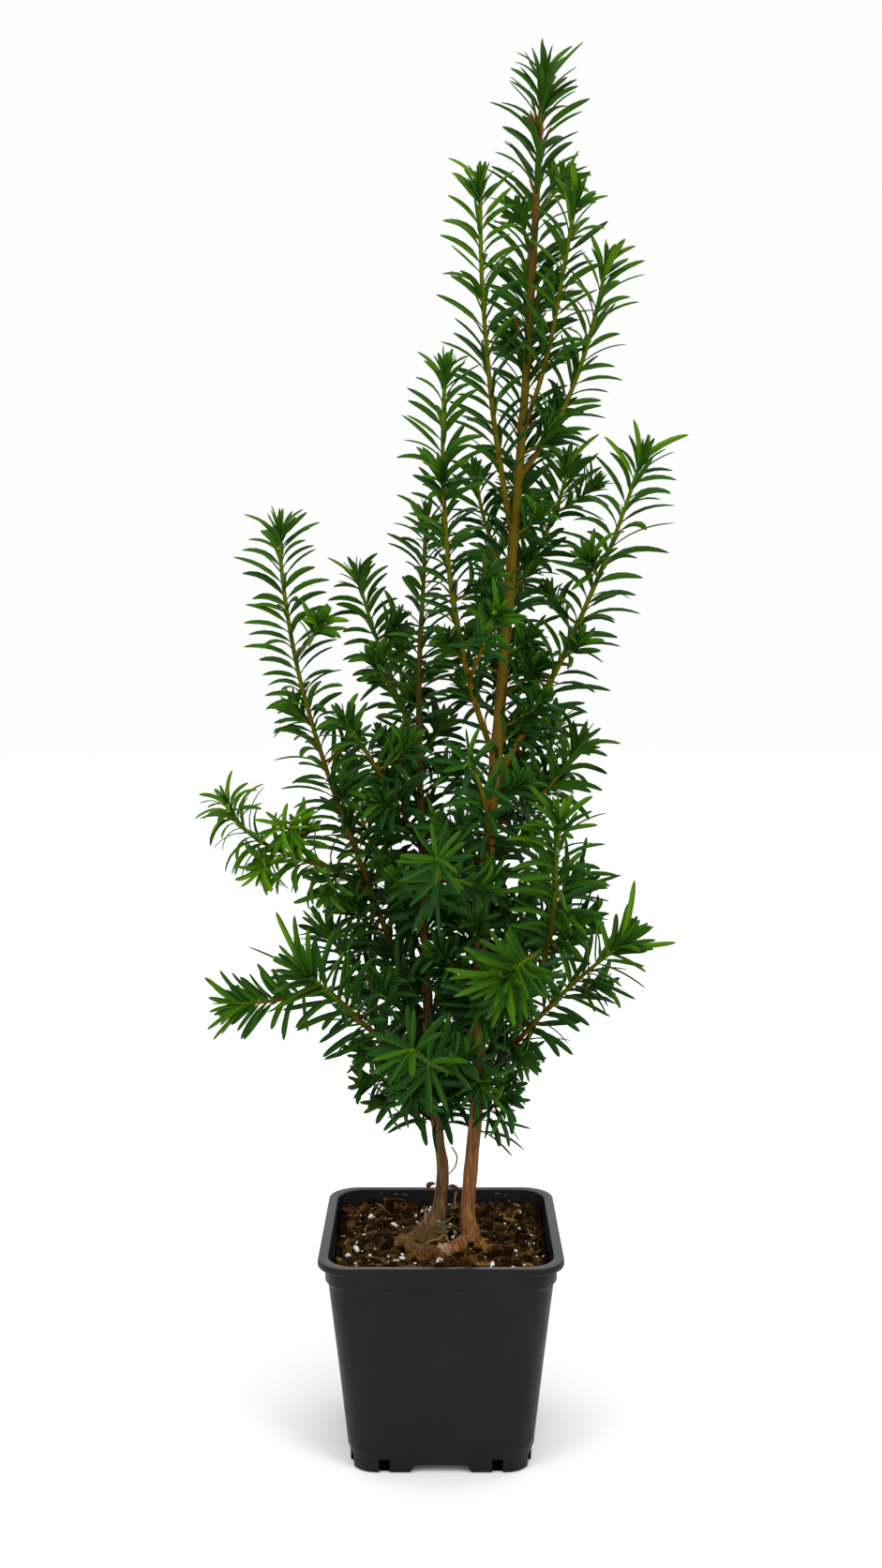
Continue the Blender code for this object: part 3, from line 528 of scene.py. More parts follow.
stems = {}
for name, s in STEMS.items():
    path = smooth_path(s["way"], 900)
    height = (path[:, 2] - STEM_FOOT) / (path[-1, 2] - STEM_FOOT)
    r0, r1, r2 = s["radius"]
    radii = np.where(height < 0.5, r0 + (r1 - r0) * height * 2, r1 + (r2 - r1) * (height - 0.5) * 2)
    size, tall = s["flare"]
    stems[name] = dict(path=path, slim=radii, radii=radii + size * np.exp(-(path[:, 2] - STEM_FOOT) / tall))

shoots = {}
for name, row in SHOOTS.items():
    parent, where, tip, low_bend, high_bend, leafy, reach, wood, habit, dense, tone, face = row
    if parent in stems:
        fine = stems[parent]["path"]
        foot = np.array([np.interp(where, fine[:, 2], fine[:, k]) for k in range(3)])
    else:
        foot = shoots[parent]["path"][int(round(where * 119))]
    path = bent_path(foot, tip, low_bend, high_bend, 120)
    start = int(leafy * 119)
    body = stems[parent]["path"] if parent in stems else shoots[parent]["path"]
    while start < 100 and np.linalg.norm(body - path[start], axis=1).min() < 6.0:
        start += 1
    shoots[name] = dict(path=path, start=start, parent=parent, reach=reach, wood=wood, habit=habit, dense=dense,
                        tone=tone, face=face)


def wood_radius(wood, share):
    """Thickness along a shoot: quick to slim from its foot, then even up to the tip."""
    wood = 0.76 * wood
    tip = min(0.68, 0.80 * wood)
    return tip + (wood - tip) * (1 - share) ** 1.15


# ---- needles ----------------------------------------------------------------
STATIONS = np.array([0.0, 0.055, 0.15, 0.31, 0.49, 0.67, 0.83, 0.945, 1.0])
WIDTHS = np.array([0.36, 0.32, 0.78, 1.0, 1.0, 0.99, 0.90, 0.60, 0.12])
SLENDER = np.array([0.36, 0.34, 0.74, 0.97, 1.0, 0.92, 0.72, 0.40, 0.06])      # higher up, drawn to a point
THICKS = np.array([0.9, 0.8, 0.9, 1.0, 1.0, 0.95, 0.85, 0.6, 0.2])
ACROSS = np.array([(-1.0, 0.0), (-0.5, 0.62), (0.0, 1.0), (0.5, 0.62), (1.0, 0.0), (0.0, -0.42)])
RIDGE = 0.38          # height of the midrib over the needle's edges

needle_rows = {group: [] for group in GROUPS}


def sow(group, base, along, out, length, width, start, end, tone, face=None, flat=0.0, twist=None, veer=None, power=1.6):
    """Notes down needles: where each leaves, the twig's direction there, the way out, its size, its angle to
    the twig at foot and tip in degrees, and its tone."""
    n = len(base)
    face = np.broadcast_to(np.array((0.0, 0.0, 1.0) if face is None else face, float), (n, 3))
    cols = [base, along, out, face]
    flats = [length, width, np.radians(start), np.radians(end), np.broadcast_to(float(flat), (n,)),
             np.zeros(n) if twist is None else np.radians(twist), np.zeros(n) if veer is None else np.radians(veer),
             tone, np.broadcast_to(float(power), (n,))]
    needle_rows[group].append(np.concatenate(cols + [np.asarray(f, float)[:, None] for f in flats], axis=1))


def grow(rows):
    """Points, faces and slots of the noted needles."""
    base, along, out, face = rows[:, 0:3], rows[:, 3:6], rows[:, 6:9], rows[:, 9:12]
    length, width, a0, a1, flat, twist, veer, tone, power = rows[:, 12:].T
    n, k = len(rows), len(STATIONS)
    cross = np.cross(along, out)
    drawn = np.interp(base[:, 2], (200, 340), (0.15, 1.0))
    points = np.zeros((n, k, 6, 3))
    p = base.copy()
    for s in range(k):
        if s:
            mid = (STATIONS[s] + STATIONS[s - 1]) / 2
            p = p + direction(mid, along, out, cross, a0, a1, veer, power)[0] * (length * (STATIONS[s] - STATIONS[s - 1]))[:, None]
        d, m = direction(STATIONS[s], along, out, cross, a0, a1, veer, power)
        top = m * (1 - flat)[:, None] + face * flat[:, None]
        top = unit(top - d * (top * d).sum(1)[:, None])
        wide = np.cross(d, top)
        turn = twist * min(1.0, STATIONS[s] / 0.3)
        c, sn = np.cos(turn)[:, None], np.sin(turn)[:, None]
        wide, top = wide * c + top * sn, top * c - wide * sn
        half = width / 2 * (WIDTHS[s] * (1 - drawn) + SLENDER[s] * drawn)
        for i, (x, y) in enumerate(ACROSS):
            points[:, s, i] = p + wide * (half * x)[:, None] + top * (RIDGE * THICKS[s] * y * np.minimum(1.0, width / 2.0))[:, None]
    s, i = np.meshgrid(np.arange(k - 1), np.arange(6), indexing="ij")
    j = (i + 1) % 6
    quad = np.stack([s * 6 + i, s * 6 + j, (s + 1) * 6 + j, (s + 1) * 6 + i], -1).reshape(-1, 4)
    kind = np.where(s.ravel() < 1, 2, np.where(i.ravel() >= 4, 1, np.where(i.ravel() >= 2, 3, 0)))
    caps = np.stack([np.arange(6)[::-1], (k - 1) * 6 + np.arange(6)])
    offset = (np.arange(n) * k * 6)[:, None, None]
    quads = (quad[None] + offset).reshape(-1, 4)
    caps = (caps[None] + offset).reshape(-1, 6)
    t = tone.astype(int)
    # painted shade: one half of each blade a tone darker than the other, the fold at the midrib between them
    by_kind = np.stack([t, UNDER_AT + np.array(UNDER_OF)[t], STALK_AT + np.array(STALK_OF)[t], np.array(SHADED_HALF)[t]])
    slots = by_kind[kind, :].T.reshape(-1)
    cap_slots = np.repeat(t, 2)
    return points.reshape(-1, 3), [quads, caps], [slots, cap_slots]


def direction(t, along, out, cross, a0, a1, veer, power):
    turn = veer * t
    r = out * np.cos(turn)[:, None] + cross * np.sin(turn)[:, None]
    a = a0 + (a1 - a0) * (1 - (1 - t) ** power)
    d = along * np.cos(a)[:, None] + r * np.sin(a)[:, None]
    m = along * np.sin(a)[:, None] - r * np.cos(a)[:, None]
    return d, m


def tones(bright, n):
    """Tone index from a brightness of 0 (shaded inside) to 1 (youngest tip), with some strays."""
    b = np.clip(bright + rng.normal(0, 0.075, n), 0, 0.999)
    edges = np.array([0.90, 0.76, 0.60, 0.45, 0.31, 0.20, 0.10])
    t = (b[:, None] < edges[None, :]).sum(1)
    # the two darkest outer greens stand in for each other here and there
    swap = (t == 5) & (rng.random(n) < 0.5)
    return np.where(swap, 6, t)


AXIS_X = np.array([(75, 8.0), (200, 8.0), (300, 15.0), (400, 28.0), (510, 36.0)])


def outerness(p):
    """0 at the crown's middle line, 1 at its outside."""
    cx = np.interp(p[:, 2], AXIS_X[:, 0], AXIS_X[:, 1])
    wide = np.interp(p[:, 2], (110, 180, 260, 360, 440, 510), (30, 62, 60, 46, 30, 10))
    return np.clip(np.hypot(p[:, 0] - cx, p[:, 1]) / wide, 0, 1)


def faced(t, r, p, amount):
    """Twist of each blade, so that its upper face turns to the crown's open side, front or back."""
    across = -np.cross(t, r)[:, 1]
    sign = np.where(p[:, 1] < 6.0, 1.0, -1.0) * np.where(across < 0, -1.0, 1.0)
    return amount * sign * np.where(rng.random(len(t)) < 0.15, -1.0, 1.0)


def clothe(group, line, radii, habit, dense, reach, tone, face=None, tip=True, size=1.0, gap_front=0.0, broad=1.0,
           lead=False):
    """Needles along one leafy axis, and a tuft at its tip."""
    run = length_of(line)
    n = max(3, int(round(dense * run * (0.90 if habit == "up" and not lead else 1.0))))
    at = (np.arange(n) + 0.5 + rng.uniform(-0.42, 0.42, n)) / n
    idx = at * (len(line) - 1)
    tangent, us, vs = frames(line)

    def pick(a, where):
        return np.stack([np.interp(where, np.arange(len(a)), a[:, k]) for k in range(3)], axis=1)

    def ring(where, azimuth):
        t = unit(pick(tangent, where))
        u = pick(us, where)
        u = unit(u - t * (u * t).sum(1)[:, None])
        v = np.cross(t, u)
        return t, u * np.cos(azimuth)[:, None] + v * np.sin(azimuth)[:, None]

    azimuth = np.radians(137.5) * np.arange(n) + rng.normal(0, 0.28, n) + rng.uniform(0, 6.28)
    t, r = ring(idx, azimuth)
    to_tip = run * (1 - at)
    young = np.clip(to_tip / 22.0, 0, 1) if tip else np.ones(n)
    p = pick(line, idx)
    spin = faced(t, r, p, np.abs(rng.normal(45, 14, n)))
    z = np.interp(idx, np.arange(len(line)), line[:, 2])
    open_by = np.clip((400 - z) / 110, 0, 1)
    flat, normal, power, short = 0.0, None, 1.6, 0.14
    if habit == "up":
        power, short = 1.2, 0.32
        r = r * np.array([1.0, 0.74, 1.0])
        r = unit(r - t * (r * t).sum(1)[:, None])
        a0 = 24 + 6 * open_by + 5 * young + rng.normal(0, 7, n)
        a1 = 60 + 22 * open_by + 16 * young + rng.normal(0, 11, n)
        twist = spin
    elif habit == "recurve":
        normal = np.array(face, float)
        r = unit(r + np.array([0.0, -0.15, -0.40]))
        r = unit(r - t * (r * t).sum(1)[:, None])
        a0 = 30 + rng.normal(0, 8, n)
        a1 = 112 + rng.normal(0, 12, n)
        twist = rng.normal(0, 26, n)
        flat, power = 0.30, 1.2
    elif habit == "droop":
        down = np.clip((176 - z) / 52, 0, 1)
        a0 = 46 + 34 * down + rng.normal(0, 9, n)
        a1 = 88 + 32 * down + rng.normal(0, 11, n)
        twist = spin * 0.6
    elif habit == "star":
        a0 = 40 + 12 * young + rng.normal(0, 7, n)
        a1 = 78 + 20 * young + rng.normal(0, 10, n)
        twist = spin * 0.8
    elif habit == "comb":
        normal = np.array(face, float)
        off = (r @ normal)[:, None] * normal[None, :]
        r = r - off * 0.62
        r = unit(r - t * (r * t).sum(1)[:, None])
        a0 = 30 + 22 * young + rng.normal(0, 6, n)
        a1 = 48 + 28 * young + rng.normal(0, 8, n)
        twist = rng.normal(0, 24, n)
        flat = 0.72
    else:                 # needles on old wood: standing well out
        a0 = 44 + rng.normal(0, 10, n)
        a1 = 94 + rng.normal(0, 14, n)
        twist = spin
    mean = np.radians(a0 + power / (power + 1) * (a1 - a0))
    long = reach * 1.08 * size / np.clip(np.sin(mean), 0.70, 1.0) * rng.uniform(0.80, 1.15, n) * (1 - short + short * young)
    keep = np.ones(n, bool)
    if gap_front > 0:
        keep = ~((r[:, 1] < -0.45) & (rng.random(n) < gap_front))
    if habit == "star":       # only the tuft's own ring shows near the end
        keep = (to_tip > 24) | (rng.random(n) < 0.4)
    wood = np.interp(idx, np.arange(len(radii)), radii)
    p = p + r * (wood - 0.28)[:, None]
    width = np.clip(rng.normal(2.25, 0.22, n), 1.75, 2.85) * (0.92 + 0.08 * young)
    if habit == "recurve":
        width = width * np.interp(to_tip, (10, 45), (0.76, 0.98))
    # painted shade: needles nearer the crown's middle line and lower down get darker greens; the youngest needles near
    # a tip get lighter greens, their own colour; the shoot's tone shifts them all
    bright = 0.42 + 0.25 * np.interp(p[:, 2], (100, 300, 500), (0.0, 0.35, 1.0)) + 0.26 * (outerness(p) - 0.5) \
        + 0.30 * np.exp(-to_tip / 9.0) * (1.0 if tip else 0.0) - 0.42 * (tone - 0.25) + (0.10 if habit == "recurve" else 0.0)
    width = width * broad * np.interp(p[:, 2], (400, 470), (1.0, 1.09))
    sow(group, p[keep], t[keep], r[keep], long[keep], width[keep], a0[keep], a1[keep], tones(bright, n)[keep],
        face=normal, flat=flat, twist=twist[keep], veer=rng.normal(0, 14, n)[keep], power=power)
    if not tip:
        return
    # the tuft: the youngest needles, bunched and nearly upright round the bud
    star = habit == "star"
    curl = habit == "recurve"
    m = 19 if lead else 10 if star else 13
    span = 16.0 if lead else 5.0 if star else 7.0
    rank = (np.arange(m) + 0.5) / m
    q = 1 - rank
    spot = (len(line) - 1) - q * span / run * (len(line) - 1)
    azimuth = np.radians(137.5) * np.arange(m) + rng.uniform(0, 6.28)
    t, r = ring(spot, azimuth)
    if habit == "comb":
        off = (r @ normal)[:, None] * normal[None, :]
        r = unit(r - off * 0.55)
        r = unit(r - t * (r * t).sum(1)[:, None])
    if curl:
        r = unit(r + np.array([0.0, -0.10, -0.60]))
        r = unit(r - t * (r * t).sum(1)[:, None])
    if lead:
        a0, bend, share = 4 + 27 * q, 8 + 36 * q, 0.68 + 0.40 * q
    elif star:
        a0, bend, share = 36 + 20 * q, 12 + 30 * q, 0.90 + 0.14 * q
    elif curl:
        a0, bend, share = 6 + 26 * q, 58 + 46 * q, 0.80 + 0.22 * q
    elif habit == "comb":
        a0, bend, share = 3 + 24 * q, 8 + 24 * q, 0.86 + 0.14 * q
    else:
        a0, bend, share = 3 + 24 * q, 10 + 42 * q, 0.58 + 0.26 * q
    a0 = a0 + rng.normal(0, 3, m)
    a1 = a0 + bend + rng.normal(0, 6, m)
    long = reach * size * share * rng.uniform(0.93, 1.08, m)
    p = pick(line, spot) + r * 0.35
    width = np.clip(rng.normal(2.25, 0.2, m), 1.8, 2.8) * (1 - 0.12 * rank) * (0.78 if curl else 1.0) * broad * np.interp(p[:, 2], (400, 490), (1.0, 1.14))
    # tuft greens: lightest for the youngest middle needles, their own colour; lower tufts darker, as painted shade
    bright = 0.57 + 0.32 * rank + 0.08 * np.interp(p[:, 2], (150, 480), (0.0, 1.0)) - 0.40 * tone + (0.10 if curl else -0.06 if star else 0.0)
    sow(group, p, t, r, long, width, a0, a1, tones(bright, m), face=normal, flat=flat * 0.8,
        twist=faced(t, r, p, np.abs(rng.normal(28, 13, m))), veer=rng.normal(0, 8, m), power=1.3)


TRIM = {"up": 9.0, "comb": 10.5, "star": 6.0, "recurve": 4.0}
wood_bag = Bag()


def ridges(turns, size, lobes=5):
    """Low ribs that run down a young twig from the foot of each needle."""
    phase = rng.uniform(0, 6.28)
    return lambda share, ang: 1 + size * np.cos(lobes * (ang + phase) + turns * share * 6.28) \
        + 0.6 * size * np.cos(2 * ang + phase + 9.0 * share)


def zones(path, share_old, share_new, rings, sides, low_old, bias=0.0):
    """Wood colour of each face of a twig: green at the tip, brown towards its foot."""
    share = (np.arange(rings - 1) + 0.5) / (rings - 1)
    age = np.interp(share, (0.0, share_old, share_new, 1.0), (6.4 if low_old else 4.2, 4.4 if low_old else 3.2, 1.9, 0.2))
    age = age[:, None] + bias + 0.55 * np.array([[noise.noise(Vector((k * 0.33, i * 1.3, bias * 7 + 2.0)))
                                                  for i in range(sides)] for k in range(rings - 1)]) * 2.0
    return np.clip(np.round(age), 0, 6).astype(int).ravel()


for name, s in shoots.items():
    path, start = s["path"], s["start"]
    run = length_of(path)
    # the wood stops short of the limb's end, where only the tuft's needles reach
    stop = int(round(119 * (1 - (TRIM[s["habit"]] / run)))) + 1
    path = path[:stop]
    run = length_of(path)
    rings = max(24, int(run / 1.5))
    fine = evenly(path, rings)
    share = np.linspace(0, 1, rings)
    radii = wood_radius(s["wood"], share)
    # swollen where it leaves its parent, drawn to a bud at the tip
    radii = radii * (1 + 0.40 * np.exp(-share * run / 2.2)) * np.where(share > 0.985, 0.6, 1.0)
    sides = 10
    points, polys = tube(fine, radii, sides, ridges(run / 46.0, 0.085))
    low_old = path[0][2] < 250
    tone = zones(fine, 0.30 if low_old else 0.22, 0.74, rings, sides, low_old, bias=rng.uniform(-0.35, 0.35) + 0.5 * s["tone"] - (0.0 if low_old else 0.75))
    bare = int(round(start / 119 * (rings - 1)))
    wood_bag.add(points, polys, [tone, np.array([tone[0], tone[-1]])])
    leafy = path[start:]
    leafy_radii = wood_radius(s["wood"], np.linspace(0, 1, len(path)))[start:]
    clothe(GROUP_OF[name], evenly(leafy, 160), np.interp(np.linspace(0, 1, 160), np.linspace(0, 1, len(leafy_radii)), leafy_radii),
           s["habit"], s["dense"], s["reach"], s["tone"], s["face"], tip=name != "front_right")

for name, (stem, z0, z1, reach, dense, tone) in SLEEVES.items():
    path, radii = stems[stem]["path"], stems[stem]["slim"]
    keep = (path[:, 2] >= z0) & (path[:, 2] <= z1 + 1)
    old = name not in TIPS and z0 < 300
    habit = "droop" if z0 < 150 else "old" if old else "up"
    clothe(GROUP_OF[name], path[keep], radii[keep], habit, dense, reach, tone, tip=name in TIPS,
           gap_front=0.6 if stem == "trunk_main" and 150 < z0 < 350 else 0.5 if old else 0.3, lead=name == "leader")

def sprig(foot, way, reach, group, old, tone, aged=False, habit="up", face=None, dense=0.95, leaf=None, width=1.0):
    """A short side twig with its own needles: leaves flat, turns up."""
    rise = way[2]
    tip = foot + unit(way) * reach
    a = foot + unit(np.array([way[0], way[1], rise * 0.5])) * reach * 0.5
    t = np.linspace(0, 1, 40)[:, None]
    line = evenly((1 - t) ** 2 * foot + 2 * (1 - t) * t * a + t * t * tip, 40)
    rings, sides = max(8, int(reach / 1.4)), 8
    fine = evenly(line, rings)
    radii = 0.40 + 0.26 * (1 - np.linspace(0, 1, rings))
    points, polys = tube(fine, radii, sides, ridges(0.5, 0.08, 4))
    age = zones(fine, 0.3, 0.7, rings, sides, old, bias=2.0 if aged else -0.9)
    wood_bag.add(points, polys, [age, np.array([age[0], age[-1]])])
    clothe(group, line[8:], np.full(32, 0.6), habit, dense, rng.uniform(12.5, 15.5) if leaf is None else leaf, tone,
           face=face, tip=True, size=0.94, broad=width)


for stem, z0, z1, count, (short, long) in SPRIGS:
    path = stems[stem]["path"]
    for k in range(count):
        z = z0 + (z1 - z0) * (k + rng.uniform(0.1, 0.9)) / count
        foot = np.array([np.interp(z, path[:, 2], path[:, c]) for c in range(3)])
        turn = math.radians(137.5) * k + rng.uniform(-0.5, 0.5) + (0.8 if stem == "trunk_left" else 0.0)
        if stem == "trunk_main" and z > 215 and math.sin(turn) < -0.5:
            turn += math.pi * 0.6
        rise = rng.uniform(0.45, 1.0) if z > 160 else rng.uniform(-0.35, 0.35)
        group = ("low_inner" if z < 200 else "middle") if stem == "trunk_main" else ("low_inner" if z < 190 else "left")
        if z > 300:
            group = "top"
        sprig(foot, np.array([math.cos(turn), math.sin(turn), rise]), rng.uniform(short, long), group, z < 200,
              rng.uniform(0.35, 0.70), aged=z < 260, habit="droop" if z < 168 else "up", leaf=rng.uniform(15.5, 18.0) if z < 168 else None)

# every long shoot bears a few short side twigs in its lower part, most of them on its inner side
for name, s in shoots.items():
    path, run = s["path"], length_of(s["path"])
    if run < 70 or name in ("top_left", "top_small_left", "top_small_right", "upper_right", "upper_right_inner"):
        continue
    count = int(run / 34)
    tangent, us, vs = frames(path)
    for k in range(count):
        i = int(119 * (0.22 + 0.46 * (k + rng.uniform(0.2, 0.8)) / count))
        turn = math.radians(137.5) * k + rng.uniform(0, 0.8)
        side = us[i] * math.cos(turn) + vs[i] * math.sin(turn)
        cx = np.interp(path[i, 2], AXIS_X[:, 0], AXIS_X[:, 1])
        inward = unit(np.array([cx, 0.0, path[i, 2]]) - path[i] + 1e-6)
        way = unit(side + 0.55 * inward + 0.5 * tangent[i] + np.array([0, 0, 0.35]))
        sprig(path[i], way, rng.uniform(9, 18), GROUP_OF[name], path[i, 2] < 230, min(0.8, s["tone"] + 0.25),
              aged=path[i, 2] < 250)

# twigs that the photo shows one by one: the broad fan in front, a bright spray on the left
sprig(np.array([33.0, -50.0, 199.5]), (-0.52, -0.82, -0.22), 20, "low_front", False, 0.30, habit="comb", face=(0.0, -0.97, 0.24),
      dense=2.1, leaf=17.0, width=0.96)
# low twigs that carry the crown's lower edge down to the bare stems
for stem, z, way, run, tone in [("trunk_left", 122, (-0.60, -0.25, 0.80), 25, 0.42), ("trunk_left", 126, (-0.50, 0.45, 0.85), 24, 0.50),
                                ("trunk_main", 123, (0.55, -0.30, 0.85), 22, 0.38)]:
    path = stems[stem]["path"]
    sprig(np.array([np.interp(z, path[:, 2], path[:, c]) for c in range(3)]), way, run, "low_inner", True, tone, aged=True,
          habit="droop", dense=0.95, leaf=14.5)
# needles on the foot of the tall left bough, and two twigs there that close the crown's left side
path = shoots["left_tall"]["path"]
foot = path[(path[:, 2] > 174) & (path[:, 2] < 212)]
clothe(GROUP_OF["left_tall"], evenly(foot, 60), np.full(60, 1.0), "up", 0.85, 16.5, 0.55, tip=False)
for z, way, run, tone in [(184, (-0.80, 0.35, 0.55), 19, 0.55), (198, (-0.80, -0.30, 0.60), 19, 0.45)]:
    sprig(np.array([np.interp(z, path[:, 2], path[:, c]) for c in range(3)]), way, run, GROUP_OF["left_tall"], True, tone, aged=True,
          leaf=15.5)
sprig(np.array([-50.0, -22.0, 239.0]), (-0.45, -0.83, 0.26), 14, "left", False, 0.02, habit="recurve", face=FRONT, dense=0.85, leaf=14.5)
sprig(shoots["left_drooping"]["path"][74], (-0.30, -0.75, -0.35), 12, "left", False, 0.12, habit="recurve", face=FRONT, dense=0.8, leaf=14.5)

total = 0
for group, names in GROUPS.items():
    rows = np.concatenate(needle_rows[group])
    parts = max(1, math.ceil(len(rows) / 1700))
    for k in range(parts):
        bag = Bag()
        points, polys, slots = grow(rows[k::parts])
        bag.add(points, polys, slots)
        obj = bag.make("needles_" + group + ("" if parts == 1 else "_%d" % (k + 1)), leaf_mats, sharp=26)
        settle(obj, "needles", *(["foliage_" + n for n in names] if k == 0 else []))
        total += bag.triangles()
        print("needles", group, len(rows[k::parts]), bag.triangles())
print("needle triangles", total)

twigs = wood_bag.make("twigs", wood_mats, sharp=None)
settle(twigs, "bark_main", *[n for n in frame["nodes"] if n.startswith("bough_")])
print("twig triangles", wood_bag.triangles())


# ---- the two stems ----------------------------------------------------------
def bark_relief(points, centre_of, amount):
    """Moves each point out or in along its way from the stem's middle line: lumps, long ridges and fine grain."""
    moved = points.copy()
    for k, (p, c) in enumerate(zip(points, centre_of)):
        x, y, z = p
        lump = noise.noise(Vector((x * 0.20, y * 0.20, z * 0.085 + 3.0)))
        ridge = noise.noise(Vector((x * 0.85, y * 0.85, z * 0.075 + 11.0)))
        grain = noise.noise(Vector((x * 2.1, y * 2.1, z * 0.40 + 5.0)))
        out = (p - c)
        size = math.sqrt(out @ out) or 1.0
        moved[k] = p + out / size * amount * (0.60 * lump + 0.26 * ridge + 0.12 * grain)
    return moved


def stem_tube(name, from_z, sides, spacing):
    path, radii = stems[name]["path"], stems[name]["radii"].copy()
    keep = path[:, 2] >= from_z
    path, radii = path[keep], radii[keep]
    count = int(length_of(path) / spacing)
    fine = evenly(path, count)
    r = np.interp(fine[:, 2], path[:, 2], radii)
    # collars where shoots leave
    for s in shoots.values():
        if s["parent"] == name:
            r = r + 0.20 * s["wood"] * np.exp(-((fine[:, 2] - s["path"][0][2] - 1.0) / 2.6) ** 2)
    r = r * (1 - 0.16 * np.exp(-((fine[:, 2] - from_z) / 3.2) ** 2))
    r = r * np.where(fine[:, 2] > fine[-1, 2] - 0.6, 0.7, 1.0)
    points, polys = tube(fine, r, sides, ridges(3.0, 0.02, 4))
    centre = np.repeat(fine, sides, axis=0)
    size = np.interp(points[:, 2], (from_z, fine[-1, 2]), (0.42, 0.16))
    moved = bark_relief(points, centre, 1.0)
    points = points + (moved - points) * size[:, None]
    bag = Bag()
    bag.add(points, polys)
    return bag


bark_main = bark_material("bark_main_satin", (0.080, 0.029, 0.008), (0.195, 0.078, 0.024), (0.350, 0.165, 0.058),
                          [(0.15, 0.23, 0.82, (0.125, 0.072, 0.004)), (0.25, 0.34, 0.92, (0.108, 0.080, 0.002)),
                           (0.425, 0.450, 0.80, (0.108, 0.056, 0.004)), (0.494, 0.503, 0.95, (0.046, 0.105, 0.003))])
bark_left = bark_material("bark_left_satin", (0.056, 0.025, 0.009), (0.108, 0.055, 0.021), (0.195, 0.112, 0.050),
                          [(0.15, 0.24, 0.88, (0.060, 0.032, 0.003)), (0.29, 0.34, 0.85, (0.080, 0.070, 0.002))])
settle(stem_tube("trunk_main", 112.0, 22, 0.85).make("trunk_main_bark", [bark_main]), "bark_main", "trunk_main")
settle(stem_tube("trunk_left", 112.0, 20, 0.95).make("trunk_left_bark", [bark_left]), "bark_left", "trunk_left")


# ---- the feet of the stems, one grown surface each ----------------------------
def remeshed(name, tubes, voxel, smooth_steps=2):
    bag = Bag()
    for path, radii, sides in tubes:
        path = np.asarray(path, float)
        points, polys = tube(path, radii, sides)
        bag.add(points, polys)
    obj = bag.make(name + "_rough", [])
    mod = obj.modifiers.new("grow", "REMESH")
    mod.mode = "VOXEL"
    mod.voxel_size = voxel * MM
    mod.use_smooth_shade = True
    soft = obj.modifiers.new("soft", "SMOOTH")
    soft.factor = 0.5
    soft.iterations = smooth_steps
    graph = bpy.context.evaluated_depsgraph_get()
    mesh = bpy.data.meshes.new_from_object(obj.evaluated_get(graph), depsgraph=graph)
    bpy.data.objects.remove(obj, do_unlink=True)
    mesh.name = name
    return mesh


def roughen(mesh, move):
    """Moves each vertex along its normal by move(x, y, z) in millimetres."""
    n = len(mesh.vertices)
    co, no = np.zeros(n * 3, np.float32), np.zeros(n * 3, np.float32)
    mesh.vertices.foreach_get("co", co)
    mesh.vertices.foreach_get("normal", no)
    co, no = co.reshape(-1, 3).astype(float) / MM, no.reshape(-1, 3)
    step = np.array([move(*p) for p in co])
    co = co + no * step[:, None]
    mesh.vertices.foreach_set("co", (co * MM).astype(np.float32).ravel())
    mesh.update()
    for poly in mesh.polygons:
        poly.use_smooth = True


def stem_bottom(name, from_z, top_z):
    """The bare lower part of a stem, a little proud of the stem's own tube and drawn in under it at the top."""
    path, radii = stems[name]["path"], stems[name]["radii"]
    keep = (path[:, 2] >= from_z) & (path[:, 2] <= top_z)
    fine = evenly(path[keep], int((top_z - from_z) / 1.2))
    r = np.interp(fine[:, 2], path[:, 2], radii)
    r = r + 0.05 - 0.5 * np.clip((fine[:, 2] - (top_z - 6.0)) / 6.0, 0, 1) ** 2
    return [fine, r, 28]


def limb(way, thick, sides=20, step=1.0):
    path = smooth_path(way, 60)
    path = evenly(path, max(6, int(length_of(path) / step)))
    share = np.linspace(0, 1, len(path))
    return [path, np.interp(share, np.linspace(0, 1, len(thick)), thick), sides]


main_foot = remeshed("trunk_main_foot", [
    stem_bottom("trunk_main", 75.0, 122.0),
    limb([(10.4, 2.6, 92), (10.3, 2.2, 87), (10.9, 1.5, 82.5), (11.7, 0.6, 79.0), (11.4, -0.4, 76.0)], (2.55, 2.8, 3.1, 3.5, 3.6)),
    limb([(12.0, 0.6, 78.6), (10.4, -2.6, 77.8), (7.4, -5.8, 77.2), (3.6, -9.2, 76.6), (0.6, -11.8, 76.0)], (3.3, 3.3, 3.0, 2.8, 2.6)),
    limb([(12.0, 1.0, 77), (15.5, 2.5, 75.0), (19.5, 4.5, 73.4), (23.0, 6.0, 72.0)], (2.8, 2.2, 1.6, 1.0), 14),
    limb([(11.8, -1.0, 76.4), (14.8, -4.2, 74.8), (17.0, -8.5, 73.4)], (2.8, 2.0, 1.1), 14),
    limb([(4.6, -8.0, 76.6), (6.0, -12.0, 75.2), (8.0, -15.5, 73.4)], (2.4, 1.7, 0.9), 12),
], 0.36)
roughen(main_foot, lambda x, y, z: 0.30 * noise.noise(Vector((x * 0.24, y * 0.24, z * 0.13)))
        + 0.10 * noise.noise(Vector((x * 0.85, y * 0.85, z * 0.16 + 11)))
        + (0.06 + 0.14 * max(0.0, min(1.0, (82 - z) / 6))) * noise.noise(Vector((x * 1.7, y * 1.7, z * 0.9 + 4))))
main_foot.materials.append(bark_main)
obj = place("trunk_main_foot", main_foot)
settle(obj, "bark_main", "trunk_main")

